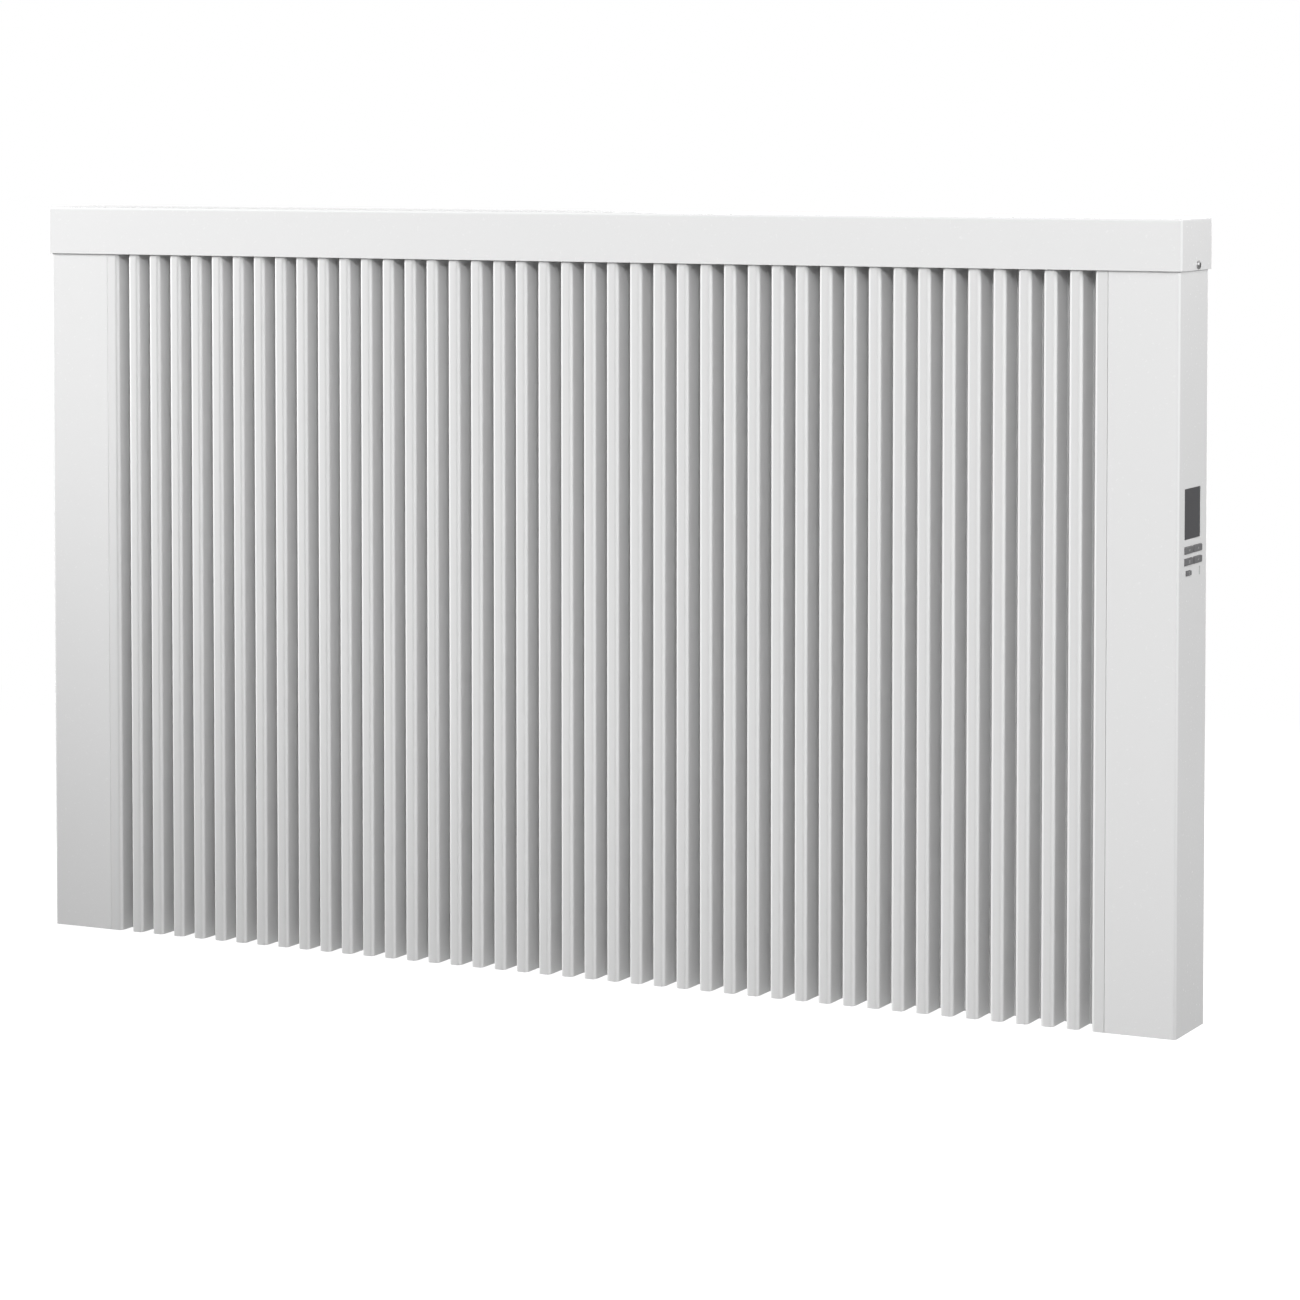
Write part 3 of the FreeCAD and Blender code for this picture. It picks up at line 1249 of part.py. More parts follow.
def make_casing_screws():
    """Screws through the rear returns into the rear panel."""
    body = new_body("casing_screws", y=REAR, z=f"{BOTTOM} + casing_screw_margin")
    screws = []
    for name, side in (("left", -1), ("right", 1)):
        profile = new_sketch(body, f"{name}_profile", "YZ_Plane",
                             [screw_outline("0", "-screw_length")],
                             offset=f"{side} * ({HALF_WIDTH} - casing_screw_inset)")
        screws.append(revolve(body, name, profile, "H_Axis"))
    pattern(body, "columns", screws, "Z_Axis", CASING_SCREW_PITCH, "casing_screw_rows")
    return body


# ---------------------------------------------------------------- build and write

PARTS = [
    make_fluted_front, make_top_cap,
    lambda: make_side_panel("side_panel_left", -1), make_side_panel_right,
    make_rear_panel, lambda: make_column_base("column_base_left", -1), make_column_base_right,
    lambda: make_baffle("baffle_left", -1), lambda: make_baffle("baffle_right", 1),
    make_core_tray, make_insulation_board,
    lambda: make_fireclay_plates("rear_fireclay_plates", ELEMENT_LINE, PLATES_BACK, 1),
    lambda: make_fireclay_plates("front_fireclay_plates", ELEMENT_LINE, PLATES_FRONT, -1),
    lambda: make_heating_element("heating_element_lower", 0),
    lambda: make_heating_element("heating_element_upper", 1),
    make_element_bushes, make_element_terminals, make_element_wires,
    make_safety_cutout, make_cutout_wires,
    make_terminal_block, make_supply_wires, make_earth_stud, make_earth_wire,
    make_cable_gland, make_gland_locknut, make_gland_cap,
    make_controller_frame, make_controller_housing, make_controller_nuts,
    make_display_window, make_lcd_module, make_circuit_board, make_board_components,
    make_tact_switches, make_status_light, make_room_sensor, make_sensor_wire,
    lambda: make_wall_bracket("wall_bracket_left", -1),
    lambda: make_wall_bracket("wall_bracket_right", 1), make_bracket_buffers,
    make_cap_screws, make_cap_nuts, make_casing_screws,
]


def main():
    bodies = [make() for make in PARTS]
    bodies += [make_key(name, *place) for name, place in KEYS.items()]
    doc.recompute()
    faults = [item.Name for item in doc.Objects
              if "Invalid" in item.State or "Error" in item.State]
    if faults:
        raise RuntimeError(f"failed objects: {faults}")
    os.makedirs("parts", exist_ok=True)
    for body in bodies:
        shape = body.Shape
        if shape.isNull() or not shape.isValid() or not shape.Solids:
            raise RuntimeError(f"{body.Label}: bad shape")
        print(body.Label, len(shape.Solids), round(shape.Volume, 1))
    for body in bodies:
        body.Shape.exportStep(f"parts/{body.Label}.step")


main()
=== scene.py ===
import math

import bmesh
import bpy
from bpy.props import FloatProperty, FloatVectorProperty, IntProperty, PointerProperty
from mathutils import Matrix, Vector


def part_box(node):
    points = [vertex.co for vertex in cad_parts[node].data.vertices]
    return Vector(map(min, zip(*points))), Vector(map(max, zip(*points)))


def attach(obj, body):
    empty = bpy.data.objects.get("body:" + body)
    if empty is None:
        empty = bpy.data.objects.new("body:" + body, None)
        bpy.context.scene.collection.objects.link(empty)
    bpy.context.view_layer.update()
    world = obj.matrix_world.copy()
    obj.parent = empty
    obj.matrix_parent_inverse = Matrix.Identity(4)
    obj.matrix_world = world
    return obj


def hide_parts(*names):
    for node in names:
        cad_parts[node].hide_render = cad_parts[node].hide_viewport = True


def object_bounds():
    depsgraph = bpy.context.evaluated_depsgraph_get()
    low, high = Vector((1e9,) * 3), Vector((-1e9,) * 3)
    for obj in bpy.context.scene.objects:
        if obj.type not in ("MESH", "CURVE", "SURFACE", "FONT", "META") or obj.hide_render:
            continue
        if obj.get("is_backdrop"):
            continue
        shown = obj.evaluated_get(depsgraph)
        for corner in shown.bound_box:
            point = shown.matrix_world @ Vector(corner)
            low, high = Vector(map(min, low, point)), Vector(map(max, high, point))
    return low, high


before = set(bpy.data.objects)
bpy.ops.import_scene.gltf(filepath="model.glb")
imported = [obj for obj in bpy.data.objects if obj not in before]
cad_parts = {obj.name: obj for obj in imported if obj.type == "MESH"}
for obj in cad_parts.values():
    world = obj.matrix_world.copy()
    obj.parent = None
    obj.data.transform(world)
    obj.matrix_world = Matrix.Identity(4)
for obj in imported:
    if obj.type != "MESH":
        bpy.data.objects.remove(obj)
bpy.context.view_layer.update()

bl_info = {
    "name": "Fluted panel heater",
    "version": (1, 0, 0),
    "blender": (4, 5, 0),
    "location": "3D View > Sidebar > Heater",
    "description": "Finishes and fine pieces for a wall panel heater with a fluted front",
    "category": "Object",
}

# Colours of the pieces inside the casing and under it
FIRECLAY = (0.48, 0.33, 0.22)
MINERAL_WOOL = (0.52, 0.47, 0.28)
ELEMENT_STEEL = (0.22, 0.21, 0.21)
HEAT_STRAW = (0.36, 0.27, 0.20)
HEAT_BLUE = (0.20, 0.22, 0.30)
PORCELAIN = (0.76, 0.74, 0.68)
BRASS = (0.55, 0.40, 0.16)
SLEEVE_RED = (0.30, 0.07, 0.04)
SLEEVE_GREEN = (0.16, 0.30, 0.04)
FRAME_GREY = (0.66, 0.66, 0.65)
PLASTIC_BLACK = (0.03, 0.03, 0.032)
GUIDE_GREY = (0.50, 0.52, 0.51)
BOARD_GREEN = (0.02, 0.13, 0.05)
RUBBER_BLACK = (0.02, 0.02, 0.02)

# Section of a screw's head: shares of its radius and height, from the rim to the crown
HEAD_SECTION = ((0.95, 0.0), (1.0, 0.08), (1.0, 0.42), (0.95, 0.64), (0.84, 0.82),
                (0.66, 0.94), (0.4, 1.0))
TIP_SHARE = 0.4
TIP_LENGTH = 0.0008
FIRST_TURN = 0.4
SMOOTH_LIMIT = math.radians(30)

# Bars of each key's sign, in shares of its width: length, middle and turn in degrees
KEY_SIGNS = {
    "key_down": ((0.70, (-0.22, 0.0), -45), (0.70, (0.22, 0.0), 45)),
    "key_up": ((0.70, (-0.22, 0.0), 45), (0.70, (0.22, 0.0), -45)),
    "key_mode": ((1.0, (0.0, -0.36), 0), (1.0, (0.0, 0.0), 0), (1.0, (0.0, 0.36), 0)),
    "key_confirm": ((0.45, (-0.32, -0.10), -45), (0.95, (0.13, 0.08), 45)),
    "key_standby": ((0.45, (0.0, 0.36), 90),),
}
SIGN_STROKE = 0.2
RING_KEY = "key_standby"
RING_OUTER = 0.5
RING_INNER = 0.32
RING_ANGLES = range(130, 411, 20)

# Soft beams: place, target, half angle in degrees and softness of the edge
BEAMS = {
    "front_beam": ((1.6, -2.8, 1.5), (0.9, 0.0, 1.3), 34.3, 0.17),
    "left_beam": ((-3.0, -1.0, 1.0), (0.2, 0.0, 0.6), 20.8, 0.3),
    "side_beam": ((3.0, -0.7, 1.2), (0.5, 0.0, 0.75), 26.0, 0.6),
}
BEAM_RADIUS = 0.4
REAR_LAMP_PLACE = (-0.5, 3.3, 0.6)
REAR_LAMP_TARGET = (0.0, 0.0, 0.0)
REAR_LAMP_SIZE = 2.0

SENSOR_WIDTH = 36.0
SKY_TONE = (0.8, 0.8, 0.8)
WHITE = (1.0, 1.0, 1.0)
FLOOR_TONES = ((0.64, 0.64, 0.64), (0.67, 0.67, 0.67))
FLOOR_STEPS = 24


# ---------------------------------------------------------------- sizes, colours and light

class HeaterFinish(bpy.types.PropertyGroup):
    """Colours and gloss of the pieces that show"""
    enamel: FloatVectorProperty(
        name="Enamel", description="Powder coat of the casing",
        default=(0.88, 0.88, 0.88), subtype="COLOR")
    enamel_roughness: FloatProperty(
        name="Enamel roughness", description="Gloss of the powder coat", default=0.24)
    # Painted shade: the fluted front's coat is the casing's enamel made darker, standing in for
    # the shade on its ribs
    front_shade_share: FloatProperty(
        name="Front share", description="Tone of the fluted front's coat beside the casing's",
        default=0.92)
    front_roughness: FloatProperty(
        name="Front roughness", description="Gloss of the fluted front's coat", default=0.48)
    zinc: FloatVectorProperty(
        name="Zinc", description="Galvanised sheet", default=(0.50, 0.51, 0.52), subtype="COLOR")
    screw_zinc: FloatVectorProperty(
        name="Screw zinc", description="Plated screws and nuts", default=(0.38, 0.38, 0.38),
        subtype="COLOR")
    key_grey: FloatVectorProperty(
        name="Key grey", description="Moulded keys", default=(0.15, 0.15, 0.155),
        subtype="COLOR")
    mark_grey: FloatVectorProperty(
        name="Sign grey", description="Signs on the keys", default=(0.42, 0.42, 0.42),
        subtype="COLOR")
    window_grey: FloatVectorProperty(
        name="Window grey", description="Smoked display window", default=(0.06, 0.06, 0.065),
        subtype="COLOR")


class HeaterDetail(bpy.types.PropertyGroup):
    """Sizes of the screws and of the keys' signs"""
    head_radius: FloatProperty(
        name="Head radius", description="Radius of a screw head", default=0.0033,
        unit="LENGTH")
    head_height: FloatProperty(
        name="Head height", description="Height of a screw head", default=0.002,
        unit="LENGTH")
    shank_radius: FloatProperty(
        name="Shank radius", description="Radius of a screw's shank", default=0.00175,
        unit="LENGTH")
    screw_length: FloatProperty(
        name="Screw length", description="Length of a screw's shank", default=0.008,
        unit="LENGTH")
    screw_twist: FloatProperty(
        name="Screw twist", description="Turn of each screw from the one before it",
        default=math.radians(27), subtype="ANGLE")
    recess_width: FloatProperty(
        name="Recess width", description="Width of a screw's cross recess",
        default=0.0009, unit="LENGTH")
    recess_span: FloatProperty(
        name="Recess span", description="Length of a screw's cross recess",
        default=0.0036, unit="LENGTH")
    recess_depth: FloatProperty(
        name="Recess depth", description="Depth of a screw's cross recess",
        default=0.0011, unit="LENGTH")
    round_steps: IntProperty(
        name="Round steps", description="Facets round a screw head", default=40)
    mark_size: FloatProperty(
        name="Sign size", description="Width of a key's sign", default=0.0024,
        unit="LENGTH")
    mark_height: FloatProperty(
        name="Sign height", description="How far a key's sign stands proud",
        default=0.00008, unit="LENGTH")
    mark_sink: FloatProperty(
        name="Sign sink", description="How far a key's sign reaches into the key",
        default=0.0003, unit="LENGTH")


class HeaterStage(bpy.types.PropertyGroup):
    """Camera, lights and floor"""
    eye: FloatVectorProperty(
        name="Eye", description="Where the camera stands", default=(1.487, -2.9397, 0.3715),
        subtype="TRANSLATION")
    turn: FloatProperty(
        name="Turn", description="Camera heading from straight on",
        default=math.radians(26.448), subtype="ANGLE")
    dip: FloatProperty(
        name="Dip", description="Camera tilt below the horizon",
        default=math.radians(2.764), subtype="ANGLE")
    lens: FloatProperty(name="Lens", description="Focal length in millimetres", default=113.01)
    rise: FloatProperty(name="Rise", description="Vertical shift of the lens", default=-0.25)
    sky: FloatProperty(name="Sky", description="Strength of the even light", default=0.32)
    front_power: FloatProperty(
        name="Front light", description="Power of the soft beam in front", default=180.0,
        unit="POWER")
    left_power: FloatProperty(
        name="Left light", description="Power of the soft beam on the left", default=445.0,
        unit="POWER")
    side_power: FloatProperty(
        name="Side light", description="Power of the soft beam on the right", default=150.0,
        unit="POWER")
    rear_power: FloatProperty(
        name="Rear light", description="Power of the lamp behind the heater", default=60.0,
        unit="POWER")
    floor_gap: FloatProperty(
        name="Floor gap", description="Floor below the heater's lower edge",
        default=0.30, unit="LENGTH")
    floor_size: FloatProperty(
        name="Floor size", description="Side of the square floor", default=80.0, unit="LENGTH")
    floor_near: FloatProperty(
        name="Floor near", description="Where the floor's shading starts to fade to white",
        default=1.2, unit="LENGTH")
    floor_far: FloatProperty(
        name="Floor far", description="Where the floor is plain white", default=4.0,
        unit="LENGTH")
    floor_glow: FloatProperty(
        name="Floor glow", description="White added to the near floor for the camera",
        default=1.8)


# ---------------------------------------------------------------- shader maths

class Wire:
    """One output socket, which Python arithmetic turns into Math nodes."""

    def __init__(self, nodes, socket):
        self.nodes = nodes
        self.socket = socket

    def math(self, operation, other):
        return self.nodes.add("ShaderNodeMath", {"operation": operation}, {0: self, 1: other})

    def __add__(self, other):
        return self.math("ADD", other)

    __radd__ = __add__

    def __mul__(self, other):
        return self.math("MULTIPLY", other)

    __rmul__ = __mul__

    def above(self, edge):
        return self.math("GREATER_THAN", edge)

    def larger(self, other):
        return self.math("MAXIMUM", other)


class NodeMaker:
    """A node tree with one way to add any node."""

    def __init__(self, tree):
        self.tree = tree

    def node(self, kind, options=None, sockets=None):
        """Add a node: its options first, then the values or wires of its sockets."""
        node = self.tree.nodes.new(kind)
        for key, setting in (options or {}).items():
            if key == "stops":
                self.set_stops(node.color_ramp, setting)
            else:
                setattr(node, key, setting)
        for key, source in (sockets or {}).items():
            self.feed(node.inputs[key], source)
        return node

    def set_stops(self, ramp, stops):
        while len(ramp.elements) < len(stops):
            ramp.elements.new(1.0)
        for element, (place, colour) in zip(ramp.elements, stops):
            element.position = place
            element.color = (*colour, 1.0)

    def feed(self, socket, source):
        """Give a socket a wire or a plain value."""
        if isinstance(source, Wire):
            self.tree.links.new(source.socket, socket)
        elif isinstance(source, tuple) and socket.type == "RGBA":
            socket.default_value = (*source, 1.0)
        else:
            socket.default_value = source

    def add(self, kind, options=None, sockets=None, output=0):
        """Add a node and return the wire from one of its outputs."""
        return Wire(self, self.node(kind, options, sockets).outputs[output])

    def mixed(self, share, first, second):
        """Mix two shaders, the second by its share."""
        return self.add("ShaderNodeMixShader", {}, {0: share, 1: first, 2: second})


class Shader(NodeMaker):
    """A material and the nodes of its surface."""

    def __init__(self, name, roughness=0.5, metallic=0.0, **constants):
        self.material = bpy.data.materials.new(name)
        self.material.use_nodes = True
        super().__init__(self.material.node_tree)
        self.surface = self.tree.nodes["Principled BSDF"]
        self.surface.inputs["Roughness"].default_value = roughness
        self.surface.inputs["Metallic"].default_value = metallic
        for socket, setting in constants.items():
            self.surface.inputs[socket.replace("_", " ")].default_value = setting

    def place(self, stretch=(1.0, 1.0, 1.0)):
        """Position on the piece in metres, stretched along its axes."""
        spot = self.add("ShaderNodeTexCoord", output="Object")
        return self.add("ShaderNodeMapping", {}, {"Vector": spot, "Scale": stretch})

    def noise(self, scale, detail=2.0, roughness=0.5, stretch=(1.0, 1.0, 1.0)):
        return self.add("ShaderNodeTexNoise", {}, {
            "Vector": self.place(stretch), "Scale": scale, "Detail": detail,
            "Roughness": roughness}, "Fac")

    def cells(self, scale, output="Distance", feature="F1", stretch=(1.0, 1.0, 1.0)):
        return self.add("ShaderNodeTexVoronoi", {"feature": feature}, {
            "Vector": self.place(stretch), "Scale": scale}, output)

    def blend(self, mask, first, second):
        """Mix two colours by a mask."""
        return self.add("ShaderNodeMix", {"data_type": "RGBA"}, {
            0: mask, 6: first, 7: second}, 2)

    def ramp(self, value, stops):
        """Colours along a 0 to 1 value."""
        return self.add("ShaderNodeValToRGB", {"stops": stops}, {"Fac": value})

    def span(self, value, low, high):
        """Spread a 0 to 1 value between two numbers."""
        return value * (high - low) + low

    def glow(self, strength):
        """An even white emission."""
        return self.add("ShaderNodeEmission", {}, {"Color": WHITE, "Strength": strength})

    def colour(self, wire):
        self.feed(self.surface.inputs["Base Color"], wire)

    def roughness(self, wire):
        self.feed(self.surface.inputs["Roughness"], wire)

    def bump(self, height, distance, strength=1.0):
        """Fine relief of the surface."""
        relief = self.add("ShaderNodeBump", {}, {
            "Height": height, "Distance": distance, "Strength": strength}, "Normal")
        self.feed(self.surface.inputs["Normal"], relief)


def shade(tone, factor):
    """A tone made lighter or darker."""
    return tuple(channel * factor for channel in tone)


# ---------------------------------------------------------------- finishes

def powder_coat(name, tone, gloss):
    """White powder coat: a fine orange peel and a faint drift of tone."""
    paint = Shader(name, roughness=gloss, Coat_Weight=0.0)
    drift = paint.noise(3.0, detail=3.0)
    speck = paint.noise(420.0, detail=2.0)
    paint.colour(paint.blend(drift * 0.7 + speck * 0.3, shade(tone, 0.985), shade(tone, 1.01)))
    paint.roughness(paint.span(speck, gloss - 0.05, gloss + 0.07))
    peel = paint.noise(750.0, detail=2.0, roughness=0.45)
    paint.bump(peel, 0.00006, 0.35)
    return paint.material


def galvanised_sheet(name, tone):
    """Zinc crystals of mixed tone, with rolling marks along the sheet."""
    sheet = Shader(name, roughness=0.45, metallic=0.85)
    crystal = sheet.cells(95.0, output="Color")
    tint = sheet.add("ShaderNodeSeparateColor", {}, {"Color": crystal}, "Red")
    rolled = sheet.noise(60.0, detail=4.0, stretch=(0.2, 1.0, 6.0))
    mix = tint * 0.6 + rolled * 0.4
    sheet.colour(sheet.blend(mix, shade(tone, 0.78), shade(tone, 1.18)))
    sheet.roughness(sheet.span(tint, 0.34, 0.56))
    sheet.bump(rolled, 0.00005, 0.3)
    return sheet.material


def plated_steel(name, tone, gloss=0.32):
    """Plated fastener or terminal: fine turning marks and handling stains."""
    metal = Shader(name, roughness=gloss, metallic=0.9)
    stain = metal.noise(700.0, detail=5.0, roughness=0.6)
    metal.colour(metal.blend(stain, shade(tone, 0.75), shade(tone, 1.2)))
    metal.roughness(metal.span(stain, gloss - 0.06, gloss + 0.14))
    metal.bump(metal.noise(2500.0, detail=2.0), 0.00003, 0.5)
    return metal.material


def fired_clay(name, tone):
    """Fireclay: iron specks, pores and cast-in mottling."""
    clay = Shader(name, roughness=0.9)
    mottle = clay.noise(45.0, detail=5.0, roughness=0.6)
    pores = clay.cells(520.0)
    specks = clay.noise(380.0, detail=2.0).above(0.66)
    body = clay.blend(mottle, shade(tone, 0.78), shade(tone, 1.12))
    clay.colour(clay.blend(specks * 0.6, body, shade(tone, 0.35)))
    clay.bump(pores + mottle * 0.5, 0.0004, 0.6)
    return clay.material


def mineral_fibre(name, tone):
    """Pressed fibre board: crossed strands and soft clumps."""
    board = Shader(name, roughness=0.95)
    strands = board.noise(160.0, detail=6.0, roughness=0.7, stretch=(0.35, 1.0, 2.2))
    crossing = board.noise(160.0, detail=6.0, roughness=0.7, stretch=(2.2, 1.0, 0.35))
    fibre = (strands + crossing) * 0.5
    board.colour(board.blend(fibre, shade(tone, 0.62), shade(tone, 1.2)))
    board.bump(fibre, 0.0012, 0.7)
    return board.material


def heated_sheath(name, tone):
    """Tubular element sheath with oxide colours from heat."""
    sheath = Shader(name, roughness=0.5, metallic=0.8)
    band = sheath.noise(9.0, detail=3.0, stretch=(1.0, 1.0, 4.0))
    oxide = sheath.ramp(band, [
        (0.35, shade(tone, 0.8)), (0.5, HEAT_STRAW), (0.64, HEAT_BLUE)])
    sheath.colour(oxide)
    sheath.roughness(sheath.span(band, 0.38, 0.66))
    return sheath.material


def glazed_ceramic(name, tone):
    """Glazed porcelain: even glaze with faint crazing."""
    glaze = Shader(name, roughness=0.22, Coat_Weight=0.4)
    craze = glaze.cells(600.0, feature="DISTANCE_TO_EDGE")
    drift = glaze.noise(60.0, detail=2.0)
    glaze.colour(glaze.blend(drift, shade(tone, 0.94), shade(tone, 1.03)))
    glaze.bump(craze, 0.00003, 0.3)
    return glaze.material


def moulded_plastic(name, tone, gloss, grain=900.0, depth=0.00005):
    """Moulded plastic with a fine spark-eroded grain."""
    plastic = Shader(name, roughness=gloss)
    texture = plastic.noise(grain, detail=3.0, roughness=0.55)
    drift = plastic.noise(30.0, detail=2.0)
    plastic.colour(plastic.blend(drift, shade(tone, 0.92), shade(tone, 1.08)))
    plastic.roughness(plastic.span(texture, gloss - 0.06, gloss + 0.1))
    plastic.bump(texture, depth, 0.6)
    return plastic.material


def smoked_pane(name, tone):
    """Dark display window: a smooth pane with faint haze."""
    pane = Shader(name, roughness=0.16, Coat_Weight=0.3, Coat_Roughness=0.06)
    haze = pane.noise(70.0, detail=3.0)
    pane.colour(pane.blend(haze, shade(tone, 0.92), shade(tone, 1.08)))
    pane.roughness(pane.span(haze, 0.12, 0.24))
    return pane.material


def solder_mask(name, tone):
    """Circuit board: mask over copper tracks."""
    board = Shader(name, roughness=0.35, Coat_Weight=0.3)
    tracks = board.cells(260.0, feature="DISTANCE_TO_EDGE", stretch=(1.0, 1.0, 0.6)).above(0.09)
    board.colour(board.blend(tracks, shade(tone, 1.9), tone))
    board.bump(tracks, 0.00004, 0.5)
    return board.material


# ---------------------------------------------------------------- helpers for pieces

def finish_nodes(material, names):
    """Give CAD nodes a material."""
    for name in names:
        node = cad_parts[name]
        node.data.materials.clear()
        node.data.materials.append(material)


def soften(piece):
    """Shade a piece smooth, with its sharp edges kept."""
    for polygon in piece.data.polygons:
        polygon.use_smooth = True
    piece.data.set_sharp_from_angle(angle=SMOOTH_LIMIT)


def add_piece(name, mesh, material, body="heater"):
    """Add a piece that rides a body."""
    piece = bpy.data.objects.new(name, mesh)
    bpy.context.collection.objects.link(piece)
    piece.data.materials.append(material)
    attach(piece, body)
    return piece


# ---------------------------------------------------------------- operators: CAD nodes' finishes

class HEATER_OT_enamel(bpy.types.Operator):
    """Give the casing its powder coat, and the fluted front a darker copy of it as painted shade
    """
    bl_idname = "heater.enamel"
    bl_label = "Enamelled casing"

    def execute(self, context):
        finish = context.scene.heater_finish
        coat = powder_coat("casing_enamel", tuple(finish.enamel), finish.enamel_roughness)
        finish_nodes(coat, ["top_cap", "side_panel_left", "side_panel_right"])
        # Painted shade: the fluted front gets a darker copy of the casing's enamel, standing in
        # for the shade its ribs take
        front_shaded_coat = powder_coat("front_enamel_shaded", shade(finish.enamel, finish.front_shade_share),
                                 finish.front_roughness)
        finish_nodes(front_shaded_coat, ["fluted_front"])
        return {"FINISHED"}


class HEATER_OT_sheet_metal(bpy.types.Operator):
    """Give the bare sheet parts their zinc"""
    bl_idname = "heater.sheet_metal"
    bl_label = "Galvanised sheet"

    def execute(self, context):
        finish = context.scene.heater_finish
        zinc = galvanised_sheet("galvanised_sheet", tuple(finish.zinc))
        finish_nodes(zinc, [
            "rear_panel", "column_base_left", "column_base_right", "baffle_left",
            "baffle_right", "core_tray", "wall_bracket_left", "wall_bracket_right"])
        return {"FINISHED"}


class HEATER_OT_core(bpy.types.Operator):
    """Finish the heat store, the elements and their supply"""
    bl_idname = "heater.core"
    bl_label = "Heating core"

    def execute(self, context):
        finish_nodes(fired_clay("fireclay", FIRECLAY),
                     ["rear_fireclay_plates", "front_fireclay_plates"])
        finish_nodes(mineral_fibre("mineral_wool", MINERAL_WOOL), ["insulation_board"])
        finish_nodes(heated_sheath("element_sheath", ELEMENT_STEEL),
                     ["heating_element_lower", "heating_element_upper"])
        finish_nodes(glazed_ceramic("porcelain", PORCELAIN),
                     ["element_bushes", "terminal_block"])
        finish_nodes(plated_steel("terminal_brass", BRASS, 0.28),
                     ["element_terminals", "earth_stud", "safety_cutout"])
        finish_nodes(moulded_plastic("silicone_sleeve", SLEEVE_RED, 0.5, 1400.0),
                     ["element_wires", "cutout_wires", "supply_wires", "sensor_wire"])
        finish_nodes(moulded_plastic("earth_sleeve", SLEEVE_GREEN, 0.5, 1400.0),
                     ["earth_wire"])
        return {"FINISHED"}


class HEATER_OT_controller(bpy.types.Operator):
    """Finish the controller, its keys and the cable gland"""
    bl_idname = "heater.controller"
    bl_label = "Controller and gland"

    def execute(self, context):
        finish = context.scene.heater_finish
        finish_nodes(moulded_plastic("key_plastic", tuple(finish.key_grey), 0.42, 2200.0),
                     ["key_down", "key_up", "key_mode", "key_confirm", "key_standby"])
        finish_nodes(smoked_pane("display_pane", tuple(finish.window_grey)), ["display_window"])
        finish_nodes(moulded_plastic("frame_plastic", FRAME_GREY, 0.45),
                     ["controller_frame", "controller_housing"])
        finish_nodes(moulded_plastic("black_plastic", PLASTIC_BLACK, 0.5),
                     ["cable_gland", "gland_locknut", "gland_cap", "board_components",
                      "tact_switches", "room_sensor", "lcd_module"])
        finish_nodes(moulded_plastic("light_guide", GUIDE_GREY, 0.2, 1500.0, 0.00001),
                     ["status_light"])
        finish_nodes(solder_mask("solder_mask", BOARD_GREEN), ["circuit_board"])
        finish_nodes(moulded_plastic("rubber", RUBBER_BLACK, 0.8, 500.0, 0.0001),
                     ["bracket_buffers"])
        return {"FINISHED"}


# ---------------------------------------------------------------- mesh helpers

def lathe(bm, outline, steps, placing):
    """Turn an outline of (radius, height) points about Z; a point at radius 0 closes an end."""
    rings = []
    for radius, height in outline:
        if radius == 0:
            rings.append([bm.verts.new(placing @ Vector((0, 0, height)))])
            continue
        turns = [2 * math.pi * step / steps for step in range(steps)]
        rings.append([bm.verts.new(placing @ Vector((radius * math.cos(turn),
                                                     radius * math.sin(turn), height)))
                      for turn in turns])
    for low, high in zip(rings, rings[1:]):
        for step in range(steps):
            after = (step + 1) % steps
            corners = [low[step % len(low)], low[after % len(low)],
                       high[after % len(high)], high[step % len(high)]]
            bm.faces.new(list(dict.fromkeys(corners)))


def prism(bm, outline, depth, placing):
    """Raise a flat outline of (x, y) points to a depth along Z."""
    count = len(outline)
    low = [bm.verts.new(placing @ Vector((x, y, 0))) for x, y in outline]
    high = [bm.verts.new(placing @ Vector((x, y, depth))) for x, y in outline]
    bm.faces.new(list(reversed(low)))
    bm.faces.new(high)
    for step in range(count):
        after = (step + 1) % count
        bm.faces.new((low[step], low[after], high[after], high[step]))


def bar(length, width, middle=(0.0, 0.0), turn=0.0):
    """Outline of a straight bar about its middle, turned by an angle."""
    spin = Matrix.Rotation(turn, 2)
    corners = [(-length, -width), (length, -width), (length, width), (-length, width)]
    return [tuple(spin @ Vector((x / 2, y / 2)) + Vector(middle)) for x, y in corners]


def to_mesh(name, bm):
    """Turn the faces outward and store them as a mesh."""
    bmesh.ops.recalc_face_normals(bm, faces=bm.faces)
    mesh = bpy.data.meshes.new(name)
    bm.to_mesh(mesh)
    bm.free()
    return mesh


def carve(name, solid, cutter):
    """Cut one mesh out of another and return what is left."""
    whole = bpy.data.objects.new(f"{name}_whole", solid)
    tool = bpy.data.objects.new(f"{name}_tool", cutter)
    for item in (whole, tool):
        bpy.context.collection.objects.link(item)
    difference = whole.modifiers.new("recess", "BOOLEAN")
    difference.operation = "DIFFERENCE"
    difference.solver = "EXACT"
    difference.object = tool
    graph = bpy.context.evaluated_depsgraph_get()
    mesh = bpy.data.meshes.new_from_object(whole.evaluated_get(graph))
    mesh.name = name
    if len(mesh.vertices) <= len(solid.vertices):
        raise RuntimeError(f"the cut in {name} left too little of it")
    for item in (whole, tool):
        bpy.data.objects.remove(item)
    for spent in (solid, cutter):
        bpy.data.meshes.remove(spent)
    return mesh


# ---------------------------------------------------------------- operators: fine pieces

def seat_frame(seat, outward, twist=0.0):
    """A placing whose Z runs outward from a seat."""
    turn = outward.to_track_quat("Z", "Y").to_matrix().to_4x4()
    return Matrix.Translation(seat) @ turn @ Matrix.Rotation(twist, 4, "Z")


